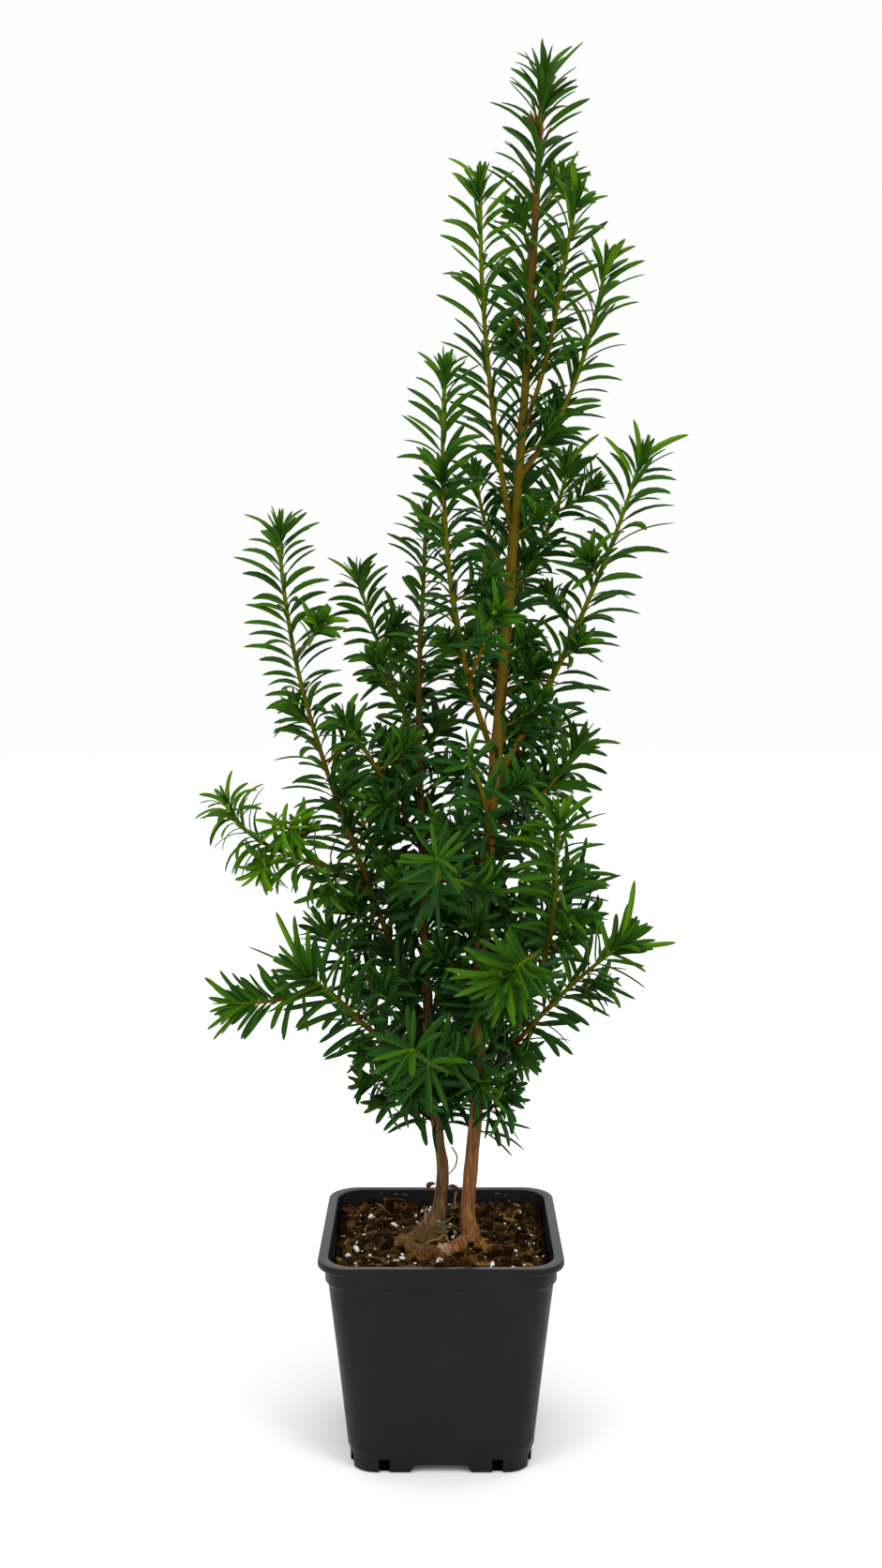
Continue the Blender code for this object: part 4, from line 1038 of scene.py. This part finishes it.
left_foot = remeshed("trunk_left_foot", [
    stem_bottom("trunk_left", 75.0, 122.0),
    limb([(-0.2, 5.5, 91), (-1.5, 4.4, 85), (-4.8, 2.3, 79.4), (-7.8, 0.0, 75.0)], (2.35, 3.3, 5.0, 6.4)),
    limb([(-1.6, 4.2, 83), (-1.6, 0.8, 79.0), (-2.4, -3.5, 75.5)], (2.8, 3.9, 4.4)),
    limb([(-10.0, -1.0, 77.5), (-13.6, -3.2, 78.0), (-16.4, -3.4, 77.2), (-18.6, -2.2, 75.0)], (3.2, 2.4, 2.2, 1.4), 16),
    limb([(-14.6, -2.8, 78.6), (-15.6, -3.8, 79.2)], (1.5, 1.6), 12),
    limb([(-12.0, -4.5, 76.6), (-11.2, -9.5, 77.2), (-7.0, -13.6, 77.3), (-1.0, -14.2, 76.9), (2.5, -12.4, 76.2)], (2.0, 2.7, 3.0, 2.9, 2.3)),
    limb([(-8.0, -12.8, 76.5), (-9.5, -17.5, 75.2), (-12.5, -21.0, 73.4)], (2.2, 1.6, 0.8), 12),
    limb([(-15.5, -2.0, 76.2), (-20.5, 1.0, 75.2), (-25.5, 2.5, 73.2)], (1.8, 1.2, 0.7), 12),
], 0.36)
roughen(left_foot, lambda x, y, z: 0.45 * noise.noise(Vector((x * 0.26, y * 0.26, z * 0.15 + 7)))
        + 0.18 * noise.noise(Vector((x * 0.9, y * 0.9, z * 0.17)))
        + (0.10 + 0.34 * max(0.0, min(1.0, (83 - z) / 6))) * noise.noise(Vector((x * 1.5, y * 1.5, z * 1.0 + 4))))
bark_root = bark_material("bark_root_rough", (0.028, 0.011, 0.003), (0.122, 0.053, 0.014), (0.300, 0.155, 0.052), None)
left_foot.materials.append(bark_left)
left_foot.materials.append(bark_root)
for poly in left_foot.polygons:
    c = poly.center / MM
    if c.z < 79.6 + 1.2 * noise.noise(Vector((c.x * 0.4, c.y * 0.4, 2.0))) and (c.y < -5.5 or c.x < -11.5):
        poly.material_index = 1
obj = place("trunk_left_foot", left_foot)
settle(obj, "bark_left", "trunk_left", "root_crown")

# the pale scar where a root was cut away, its bark broken back in flakes
scar = Bag()
for k in range(6):
    x = -0.9 + 0.78 * k
    way = np.array([(x + 0.1, -15.0, 76.0 + 0.5 * (k % 2)), (x - 0.1, -15.3, 77.8), (x + 0.25, -14.8, 79.6), (x + 0.4, -13.9, 80.9 - 0.5 * (k % 3))])
    path = evenly(way, 9)
    points, polys = tube(path, 0.42 + 0.30 * np.sin(np.linspace(0.3, 2.9, 9)), 7, ridges(0.6, 0.22, 3))
    scar.add(points, polys)
obj = scar.make("root_scar", [grainy("root_scar_wood", (0.22, 0.125, 0.070), (0.46, 0.33, 0.23), (0.9, 0.9, 0.5), 0.7, 0.15)], sharp=40)
settle(obj, "bark_left")

# ---- pot --------------------------------------------------------------------
POT_HEIGHT, RIM_HALF, LIP_TALL, LIP_WIDE = 82.6, 45.5, 3.2, 3.2
COLLAR_HALF, COLLAR_TALL, BODY_TOP_HALF, BODY_LOW_HALF = 42.9, 5.7, 41.8, 35.1
BASE_TALL, BASE_HALF, WALL, RIM_CORNER, BASE_CORNER = 8.0, 34.1, 1.2, 12.0, 10.0
FLOOR_TOP, PAD_FLOOR, CHANNEL_LOW, CHANNEL_HIGH, CHANNEL_TALL = 5.6, 1.6, 23.0, 19.0, 3.0
SLOT_AT, SLOT_WIDE, SLOT_TALL, PAD_IN, PAD_OUT = 21.1, 4.0, 5.2, 13.2, 29.6

SIDE_SLOT_AT = 26.7


def square_ring(half, corner, z, per_corner=16):
    pts = []
    for q in range(4):
        cx = (half - corner) * (1 if q in (0, 3) else -1)
        cy = (half - corner) * (1 if q in (0, 1) else -1)
        for i in range(per_corner):
            a = math.pi / 2 * (q + i / (per_corner - 1))
            pts.append((cx + corner * math.cos(a), cy + corner * math.sin(a), z))
    return pts


def skin(rings, close_low=True, close_high=True):
    n = len(rings[0])
    points = np.array([p for ring in rings for p in ring], float)
    k, i = np.meshgrid(np.arange(len(rings) - 1), np.arange(n), indexing="ij")
    j = (i + 1) % n
    quads = np.stack([k * n + i, k * n + j, (k + 1) * n + j, (k + 1) * n + i], -1).reshape(-1, 4)
    caps = []
    if close_low:
        caps.append(np.arange(n)[::-1])
    if close_high:
        caps.append((len(rings) - 1) * n + np.arange(n))
    return points, [quads, np.array(caps)]


def box(lo, hi):
    pts = [(x, y, z) for z in (lo[2], hi[2]) for x, y in ((lo[0], lo[1]), (hi[0], lo[1]), (hi[0], hi[1]), (lo[0], hi[1]))]
    faces = [(3, 2, 1, 0), (4, 5, 6, 7), (0, 1, 5, 4), (1, 2, 6, 5), (2, 3, 7, 6), (3, 0, 4, 7)]
    bag = Bag()
    bag.add(pts, [np.array(faces)])
    return bag.make("cutter", [])


def channel(along_x):
    lo, hi, reach = CHANNEL_LOW / 2, CHANNEL_HIGH / 2, RIM_HALF
    pts = []
    for end in (-reach, reach):
        for w, z in ((-lo, -1.0), (lo, -1.0), (lo, 0.0), (hi, CHANNEL_TALL), (-hi, CHANNEL_TALL), (-lo, 0.0)):
            pts.append((end, w, z) if along_x else (w, end, z))
    bm = bmesh.new()
    verts = [bm.verts.new(Vector(p) * MM) for p in pts]
    for f in [(0, 1, 2, 3, 4, 5), (11, 10, 9, 8, 7, 6)] + [(i, i + 6, (i + 1) % 6 + 6, (i + 1) % 6) for i in range(6)]:
        bm.faces.new([verts[i] for i in f])
    bmesh.ops.recalc_face_normals(bm, faces=bm.faces)
    mesh = bpy.data.meshes.new("cutter")
    bm.to_mesh(mesh)
    bm.free()
    return place("cutter", mesh)


wall_low = POT_HEIGHT - LIP_TALL - COLLAR_TALL
top = POT_HEIGHT - LIP_TALL
outer = [
    (BASE_HALF - 0.35, BASE_CORNER - 0.2, 0.0),
    (BASE_HALF - 0.05, BASE_CORNER, 0.25),
    (BASE_HALF, BASE_CORNER, 0.6),
    (BASE_HALF + 0.35, BASE_CORNER, BASE_TALL - 0.75),
    (BASE_HALF + 0.5, BASE_CORNER + 0.1, BASE_TALL - 0.4),
    (BODY_LOW_HALF - 0.1, BASE_CORNER + 0.2, BASE_TALL - 0.1),
    (BODY_LOW_HALF, BASE_CORNER + 0.2, BASE_TALL + 0.3),
    (BODY_LOW_HALF + 0.2, BASE_CORNER + 0.2, BASE_TALL + 2.8),
    ((BODY_LOW_HALF + BODY_TOP_HALF) / 2 - 0.1, 10.7, (BASE_TALL + wall_low) / 2),
    (BODY_TOP_HALF - 0.1, RIM_CORNER - 0.8, wall_low - 2.0),
    (BODY_TOP_HALF, RIM_CORNER - 0.8, wall_low - 0.9),
    (BODY_TOP_HALF + 0.3, RIM_CORNER - 0.7, wall_low - 0.45),
    (COLLAR_HALF - 0.5, RIM_CORNER - 0.4, wall_low - 0.1),
    (COLLAR_HALF - 0.1, RIM_CORNER - 0.3, wall_low + 0.25),
    (COLLAR_HALF, RIM_CORNER - 0.3, wall_low + 0.7),
    (COLLAR_HALF + 0.1, RIM_CORNER - 0.3, top - 0.45),
    (COLLAR_HALF + 0.3, RIM_CORNER - 0.25, top - 0.15),
    (RIM_HALF - 1.5, RIM_CORNER - 0.2, top + 0.0),
    (RIM_HALF - 0.7, RIM_CORNER - 0.1, top + 0.35),
    (RIM_HALF - 0.15, RIM_CORNER, top + 0.85),
    (RIM_HALF, RIM_CORNER, top + 1.25),
    (RIM_HALF, RIM_CORNER, POT_HEIGHT - 0.62),
    (RIM_HALF - 0.10, RIM_CORNER - 0.05, POT_HEIGHT - 0.28),
    (RIM_HALF - 0.32, RIM_CORNER - 0.15, POT_HEIGHT - 0.07),
    (RIM_HALF - 0.62, RIM_CORNER - 0.3, POT_HEIGHT),
    (COLLAR_HALF - WALL + 0.55, RIM_CORNER - 1.1, POT_HEIGHT - 0.04),
    (COLLAR_HALF - WALL + 0.20, RIM_CORNER - 1.2, POT_HEIGHT - 0.20),
    (COLLAR_HALF - WALL + 0.05, RIM_CORNER - 1.3, POT_HEIGHT - 0.60),
    (COLLAR_HALF - WALL, RIM_CORNER - 1.5, wall_low + 2.6),
    (COLLAR_HALF - WALL - 0.35, RIM_CORNER - 1.6, wall_low + 1.9),
    (BODY_TOP_HALF - WALL + 0.2, RIM_CORNER - 2.0, wall_low + 1.2),
    (BODY_TOP_HALF - WALL, RIM_CORNER - 2.0, wall_low + 0.4),
    (BODY_LOW_HALF - WALL - 0.5, BASE_CORNER - 1.0, FLOOR_TOP),
]
points, polys = skin([square_ring(*row) for row in outer])
bag = Bag()
bag.add(points, polys)
pot = bag.make("pot_body", [])
tools = [channel(True), channel(False)]
for sx in (-1, 1):
    for sy in (-1, 1):
        xs, ys = sorted((sx * PAD_IN, sx * PAD_OUT)), sorted((sy * PAD_IN, sy * PAD_OUT))
        tools.append(box((xs[0], ys[0], PAD_FLOOR), (xs[1], ys[1], FLOOR_TOP + 3)))
        for along_x in (True, False):
            # shallow recesses: what lies behind a slot is too dark to tell; their faces get near-black painted shade
            # further down
            side = sorted((sx * (BASE_HALF - (2.6 if along_x else 1.5)), sx * (RIM_HALF + 1)))
            at, half = (sy * SIDE_SLOT_AT, SLOT_WIDE / 2 + 0.7) if along_x else (sy * SLOT_AT, SLOT_WIDE / 2)
            lo = (side[0], at - half, -1) if along_x else (at - half, side[0], -1)
            hi = (side[1], at + half, SLOT_TALL) if along_x else (at + half, side[1], SLOT_TALL)
            tools.append(box(lo, hi))
for tool in tools:
    mod = pot.modifiers.new("cut", "BOOLEAN")
    mod.operation, mod.solver, mod.object = "DIFFERENCE", "EXACT", tool
edge = pot.modifiers.new("edge", "BEVEL")
edge.width, edge.segments, edge.limit_method, edge.angle_limit = 0.18 * MM, 2, "ANGLE", math.radians(50)
graph = bpy.context.evaluated_depsgraph_get()
pot_mesh = bpy.data.meshes.new_from_object(pot.evaluated_get(graph), depsgraph=graph)
for obj in tools + [pot]:
    bpy.data.objects.remove(obj, do_unlink=True)
pot_mesh.name = "pot_body"
pot_mesh.materials.clear()
# materials: satin plastic; the rim top's glossier plastic, its lighter colour a painted highlight; near-black painted
# shade for the slot recesses
for mat in (pot_material(), plain("pot_lip_gloss_painted_highlight", (0.0075, 0.0076, 0.0076), 0.30, 0.30), plain("pot_slot_painted_shade", (0.0004, 0.0004, 0.0004), 0.9, 0.01)):
    pot_mesh.materials.append(mat)
for poly in pot_mesh.polygons:
    poly.use_smooth = True
    c = poly.center / MM
    near, far = sorted((abs(c.x), abs(c.y)))
    # painted highlight: upward faces on the rim take the lip material, glossier and a little lighter than the body
    if poly.normal.z > 0.85 and c.z > POT_HEIGHT - 0.5:
        poly.material_index = 1
    # painted shade: faces in the slot recesses take a near-black material
    elif c.z < SLOT_TALL - 0.02 and BASE_HALF - 2.75 < far < BASE_HALF - 0.12 and poly.normal.z > -0.9:
        along = abs(c.x) if abs(c.y) > abs(c.x) else abs(c.y)
        at = SLOT_AT if abs(c.y) > abs(c.x) else SIDE_SLOT_AT
        if abs(along - at) < SLOT_WIDE / 2 + (0.1 if at == SLOT_AT else 0.8) and far > BASE_HALF - (1.6 if at == SLOT_AT else 2.75):
            poly.material_index = 2
pot_mesh.set_sharp_from_angle(angle=math.radians(34))
settle(place("pot_body", pot_mesh), "pot_plastic", "pot")

# ---- soil -------------------------------------------------------------------
SOIL_LEVEL = 74.9
inner_low, inner_high = (BODY_LOW_HALF - WALL - 0.5, FLOOR_TOP), (BODY_TOP_HALF - WALL, wall_low + 0.4)


def half_inside(z):
    t = (z - inner_low[1]) / (inner_high[1] - inner_low[1])
    return inner_low[0] + (inner_high[0] - inner_low[0]) * t


def soil_top(x, y):
    """Coarse potting soil: clods, hollows between them and fine crumbs."""
    clod = fractal((x * 0.115, y * 0.115, 4.2), 2)
    crumb = 1.0 - abs(noise.noise(Vector((x * 0.42, y * 0.42, 9.1)))) * 2.0
    fine = fractal((x * 1.05, y * 1.05, 1.7), 2)
    pit = min(0.0, noise.noise(Vector((x * 0.19, y * 0.19, 21.0))) + 0.10) * 6.5
    back = min(1.0, max(0.0, (y - 6.0) / 28.0))
    return SOIL_LEVEL + 1.7 * clod + 1.0 * crumb - 0.4 + 0.5 * fine + pit + 2.4 * back * back * (3 - 2 * back)


rows, per = 74, 14
rings = []
for z in (FLOOR_TOP + 0.5, 40.0, 68.0):
    rings.append(square_ring(half_inside(z) - 0.5, 9.0, z, per + 44))
edge_half = half_inside(73.0) - 0.25
for k in range(rows):
    share = 1.0 - k / rows * 0.985
    rings.append([(x, y, soil_top(x, y)) for x, y, _ in square_ring(edge_half * share, edge_half * share * 0.25 + 0.01, 0.0, per + 44)])
# even out the spacing along each ring
even = []
for ring in rings:
    loop = np.array(ring + [ring[0]])
    loop = evenly(loop, 241)[:-1]
    even.append(loop)
for k in range(3, len(even)):
    for i, (x, y, _) in enumerate(even[k]):
        even[k][i, 2] = soil_top(x, y)
points, polys = skin(even)
bag = Bag()
bag.add(points, polys)
settle(bag.make("soil_bed", [soil_material()]), "soil_peat", "soil")
print("soil", bag.triangles())


def ball(steps):
    bm = bmesh.new()
    bmesh.ops.create_icosphere(bm, subdivisions=steps, radius=1.0)
    pts = np.array([v.co[:] for v in bm.verts])
    faces = np.array([[v.index for v in f.verts] for f in bm.faces])
    bm.free()
    return pts, faces


def turns(n, flatness):
    """Random rotations; flatness 1 keeps the z axis up."""
    yaw = rng.uniform(0, 6.283, n)
    tip_by, tip_to = rng.normal(0, 1.0 - flatness, n), rng.uniform(0, 6.283, n)
    cy, sy = np.cos(yaw), np.sin(yaw)
    zero, one = np.zeros(n), np.ones(n)
    spin = np.stack([np.stack([cy, -sy, zero], -1), np.stack([sy, cy, zero], -1), np.stack([zero, zero, one], -1)], -2)
    ax = np.stack([np.cos(tip_to), np.sin(tip_to), zero], -1)
    c, s = np.cos(tip_by)[:, None, None], np.sin(tip_by)[:, None, None]
    cross = np.zeros((n, 3, 3))
    cross[:, 0, 2], cross[:, 1, 2], cross[:, 2, 0], cross[:, 2, 1] = ax[:, 1], -ax[:, 0], -ax[:, 1], ax[:, 0]
    tilt = c * np.eye(3) + s * cross + (1 - c) * ax[:, :, None] * ax[:, None, :]
    return tilt @ spin


def scatter(bag, n, sizes, steps, rough, flatness, sink, slots, keep_off=0.0):
    """n irregular lumps on the soil. sizes: low and high half sizes in x, y and z."""
    pts, faces = ball(steps)
    half = edge_half - 1.2
    xy = rng.uniform(-half, half, (n, 2))
    corner = np.hypot(np.maximum(np.abs(xy[:, 0]) - (half - 9), 0), np.maximum(np.abs(xy[:, 1]) - (half - 9), 0))
    xy = np.where((corner > 9)[:, None], xy * 0.8, xy)
    lo, hi = np.array(sizes[0]), np.array(sizes[1])
    grow_by = rng.random((n, 1)) ** 1.8
    half_sizes = (lo + (hi - lo) * grow_by) * rng.uniform(0.85, 1.15, (n, 3))
    z = np.array([soil_top(x, y) for x, y in xy])
    centre = np.column_stack([xy, z + half_sizes[:, 2] * (1 - sink)])
    bumps = 1 + rng.normal(0, rough, (n, len(pts)))
    rot = turns(n, flatness)
    shape = pts[None] * bumps[:, :, None] * half_sizes[:, None, :]
    points = np.einsum("nij,nvj->nvi", rot, shape) + centre[:, None, :]
    polys = (faces[None] + (np.arange(n) * len(pts))[:, None, None]).reshape(-1, 3)
    bag.add(points.reshape(-1, 3), [polys], np.repeat(rng.choice(slots, n), len(faces)))


crumbs = Bag()
scatter(crumbs, 620, ((0.5, 0.45, 0.4), (2.6, 2.1, 1.6)), 2, 0.13, 0.3, 0.45, [0, 0, 1, 2])
scatter(crumbs, 1500, ((0.25, 0.22, 0.2), (0.8, 0.7, 0.6)), 1, 0.16, 0.3, 0.4, [0, 1, 1, 2])
peat_mats = [
    grainy("peat_dark", (0.0025, 0.0012, 0.0004), (0.016, 0.0078, 0.0020), (0.8, 0.8, 0.8), 0.92, 0.3),
    grainy("peat_brown", (0.010, 0.0048, 0.0012), (0.060, 0.029, 0.0065), (0.8, 0.8, 0.8), 0.9, 0.3),
    grainy("peat_rust", (0.034, 0.016, 0.003), (0.150, 0.074, 0.015), (0.8, 0.8, 0.8), 0.88, 0.3),
]
settle(crumbs.make("soil_crumbs", peat_mats, smooth=True, sharp=38), "soil_peat")

chips = Bag()
scatter(chips, 260, ((1.2, 0.5, 0.35), (5.2, 1.8, 0.9)), 1, 0.17, 0.45, 0.10, [0, 1, 2, 2])
chip_mats = [
    grainy("chip_brown", (0.020, 0.0095, 0.0022), (0.095, 0.046, 0.010), (0.5, 1.4, 0.5), 0.82, 0.25),
    grainy("chip_gold", (0.080, 0.038, 0.007), (0.300, 0.155, 0.034), (0.5, 1.4, 0.5), 0.8, 0.25),
    grainy("chip_dark", (0.005, 0.0024, 0.0006), (0.032, 0.016, 0.004), (0.5, 1.4, 0.5), 0.85, 0.25),
]
settle(chips.make("soil_chips", chip_mats, smooth=True, sharp=32), "soil_peat")

perlite = Bag()
scatter(perlite, 105, ((0.6, 0.42, 0.42), (1.75, 1.0, 0.9)), 2, 0.09, 0.35, -0.25, [0])
scatter(perlite, 170, ((0.32, 0.25, 0.22), (0.9, 0.55, 0.5)), 1, 0.10, 0.4, -0.1, [0])
settle(perlite.make("soil_perlite", [grainy("perlite_white", (0.62, 0.60, 0.55), (0.90, 0.89, 0.85), (1.5, 1.5, 1.5), 0.8, 0.2)]), "soil_peat")

fibres = Bag()
for k in range(520):
    half = edge_half - 3.0
    x, y = rng.uniform(-half, half, 2)
    run = rng.uniform(5, 22)
    yaw = rng.uniform(0, 6.283)
    count = 9
    bend = rng.normal(0, 0.16, 2)
    pts, heading = [], yaw
    px, py = x, y
    lift = rng.uniform(0.0, 1.0) ** 2 * 2.2
    for i in range(count):
        t = i / (count - 1)
        pts.append((px, py, t))
        heading += bend[0] + rng.normal(0, 0.16)
        px += math.cos(heading) * run / count
        py += math.sin(heading) * run / count
    pts = np.array(pts)
    pts[:, :2] = np.clip(pts[:, :2], -half, half)
    arch = np.sin(pts[:, 2] * math.pi)
    z = np.array([soil_top(a, b) for a, b in pts[:, :2]])
    pts[:, 2] = np.convolve(np.r_[z[0], z, z[-1]], (0.25, 0.5, 0.25), "valid") + 0.25 + lift * arch
    thick = rng.uniform(0.12, 0.36)
    points, polys = tube(pts, thick * (1 - 0.45 * np.linspace(0, 1, count)), 5)
    fibres.add(points, polys, int(rng.choice([0, 1, 1, 2])))
fibre_mats = [plain("fibre_tan", (0.200, 0.104, 0.024), 0.75, 0.08), plain("fibre_rust", (0.085, 0.039, 0.008), 0.75, 0.08),
              plain("fibre_dark", (0.020, 0.0095, 0.0025), 0.8, 0.08)]
settle(fibres.make("soil_fibres", fibre_mats), "soil_peat")
print("soil bits", crumbs.triangles(), chips.triangles(), perlite.triangles(), fibres.triangles())

# painted highlights: pale flecks on the inside of the far wall, just under the lip, standing in for glints
glint_flecks = Bag()
pts, faces = ball(1)
for x, z, wide, lean in [(-24.6, 81.0, 0.8, 0.9), (-18.4, 80.7, 1.2, 0.3), (-14.6, 80.5, 1.6, -0.5), (23.0, 80.9, 1.3, -0.4),
                         (26.5, 80.3, 0.7, -0.6), (6.5, 80.8, 0.6, 0.2)]:
    turned = np.column_stack([pts[:, 0] * wide * math.cos(lean) - pts[:, 2] * 0.28 * math.sin(lean), pts[:, 1] * 0.10,
                              pts[:, 0] * wide * math.sin(lean) * 0.6 + pts[:, 2] * 0.28 * math.cos(lean)])
    glint_flecks.add(turned + np.array([x, COLLAR_HALF - WALL - 0.02, z]), [faces])
settle(glint_flecks.make("pot_inner_glints", [plain("pot_glint_painted_grey", (0.150, 0.150, 0.150), 0.6, 0.05)]), "pot_plastic")

# ---- small growth at the foot --------------------------------------------------
sprouts = Bag()


def stalk(way, thick, slot, count=14, sides=7):
    path = smooth_path(way, count)
    share = np.linspace(0, 1, count)
    points, polys = tube(path, np.interp(share, np.linspace(0, 1, len(thick)), thick), sides)
    sprouts.add(points, polys, slot)


stalk([(5.6, 3.4, 88), (5.4, 3.0, 92), (6.2, 2.6, 96.5)], (0.45, 0.40, 0.42), 0)
stalk([(3.0, 3.2, 97.2), (4.6, 2.8, 97.4), (6.3, 2.5, 96.2), (7.0, 2.4, 95.2)], (0.35, 0.9, 1.1, 0.4), 1)
stalk([(-4.6, 3.6, 96.6), (-5.0, 3.4, 97.6), (-3.4, 3.4, 98.3), (-2.4, 3.8, 97.8)], (0.5, 1.05, 0.8, 0.3), 1)
stalk([(-5.0, 3.4, 96.2), (-4.6, 3.6, 95.2)], (0.45, 0.3), 1, 6)
stalk([(-6.4, 0.5, 78.5), (-6.1, 0.4, 83.5), (-5.9, 0.6, 88.5), (-5.2, 0.8, 89.6)], (0.50, 0.42, 0.40, 0.28), 2)
stalk([(-6.6, 0.3, 80.5), (-8.2, -0.2, 83.4), (-9.4, -0.4, 84.2)], (0.34, 0.32, 0.24), 2)
stalk([(4.2, 1.5, 113.5), (6.1, 1.2, 110.0), (5.6, 1.4, 106.0), (3.6, 2.2, 103.0), (2.6, 3.2, 102.2)], (0.30, 0.34, 0.34, 0.28, 0.2), 3)
# yellow-brown tendrils that curl between the stems and over the root
stalk([(1.4, -4.6, 84.0), (1.8, -6.4, 81.2), (3.2, -8.2, 78.8), (5.4, -9.2, 77.2)], (0.42, 0.36, 0.34, 0.28), 4)
stalk([(-5.2, -9.0, 76.6), (-5.8, -9.4, 78.4), (-4.2, -9.6, 80.0), (-1.2, -9.0, 80.6), (0.8, -8.0, 82.0), (1.2, -7.0, 83.4)], (0.40, 0.42, 0.38, 0.34, 0.32, 0.26), 4)
stalk([(-5.2, -9.0, 77.0), (-3.0, -11.0, 76.8), (-0.5, -12.2, 77.4)], (0.42, 0.38, 0.25), 4)
sprout_mats = [plain("sprout_brown", (0.210, 0.115, 0.045), 0.55, 0.3), plain("sprout_cap", (0.052, 0.019, 0.009), 0.5, 0.12),
               plain("sprout_pale", (0.300, 0.200, 0.085), 0.6, 0.3), plain("sprout_green", (0.060, 0.110, 0.018), 0.45, 0.3),
               plain("sprout_amber", (0.210, 0.150, 0.040), 0.5, 0.3)]
settle(sprouts.make("foot_sprouts", sprout_mats), "bark_left")

seedling = []
spots = [(-0.6, -6.4, 85.0), (0.4, -6.6, 86.2), (1.0, -6.2, 84.6), (0.2, -6.8, 83.2), (1.0, -6.6, 82.2), (2.6, -6.0, 84.2)]
for k, spot in enumerate(spots):
    for a in range(4):
        yaw = a * 1.57 + k * 0.7
        way = unit(np.array([math.cos(yaw), math.sin(yaw) * 0.8 - 0.3, 0.25 + 0.3 * (a % 2)]))
        seedling.append((spot, (0, 0, 1), way))
base = np.array([s[0] for s in seedling], float)
along = np.array([s[1] for s in seedling], float)
out = np.array([s[2] for s in seedling], float)
out = unit(out - along * (out * along).sum(1)[:, None])
n = len(base)
needle_rows["sprout"] = []
sow("sprout", base, along, out, rng.uniform(1.9, 3.1, n), rng.uniform(1.1, 1.7, n), rng.uniform(50, 75, n), rng.uniform(75, 105, n),
    np.zeros(n))
bag = Bag()
points, polys, slots = grow(np.concatenate(needle_rows["sprout"]))
shade = [np.repeat(rng.choice([0, 0, 1, 2], n), len(f) // n) for f in slots]
bag.add(points, polys, shade)
leaflet_mats = [plain("leaflet_olive", (0.075, 0.085, 0.016), 0.35, 0.15), plain("leaflet_pale", (0.200, 0.270, 0.090), 0.35, 0.15),
                plain("leaflet_dark", (0.018, 0.040, 0.008), 0.35, 0.15)]
settle(bag.make("foot_leaflets", leaflet_mats, sharp=26), "needles")

# reddish bud scales that stay on the main stem where each year's growth began
scales = Bag()
for x, y, z, lean, size in [(34.9, -1.6, 493.5, -0.62, 5.4), (34.6, -1.0, 496.0, -0.50, 4.6), (35.0, -1.9, 490.5, -0.40, 3.8),
                            (36.6, -2.0, 492.0, 0.10, 3.0), (33.6, -1.6, 473.0, -0.35, 4.2), (34.0, -2.0, 470.0, -0.15, 3.0),
                            (28.2, -1.6, 424.0, -0.30, 4.0), (28.6, -2.2, 421.0, -0.05, 3.0), (38.0, 1.0, 491.5, 0.55, 3.6)]:
    way = np.array([(x, y, z - 1.0), (x + lean * size * 0.5, y - 0.4, z + size * 0.35), (x + lean * size, y - 0.5, z + size * 0.9)])
    points, polys = tube(evenly(way, 9), 0.15 + 0.42 * np.sin(np.linspace(0.5, 3.0, 9)), 7)
    scales.add(points, polys)
settle(scales.make("bud_scales", [plain("bud_scale_russet", (0.160, 0.040, 0.012), 0.45, 0.15)]), "bark_main")

# ---- floor ------------------------------------------------------------------
n = 96
bag = Bag()
ang = 2 * math.pi * np.arange(n) / n
bag.add(np.column_stack([np.cos(ang) * 14000, np.sin(ang) * 14000, np.full(n, -0.15)]), [np.arange(n)[None]])
floor_mat = Nodes("floor_white")
floor_mat.set(colour=(0.99, 0.99, 0.99), rough=1.0, shine=0.0)
floor = bag.make("floor", [floor_mat.mat], smooth=False)
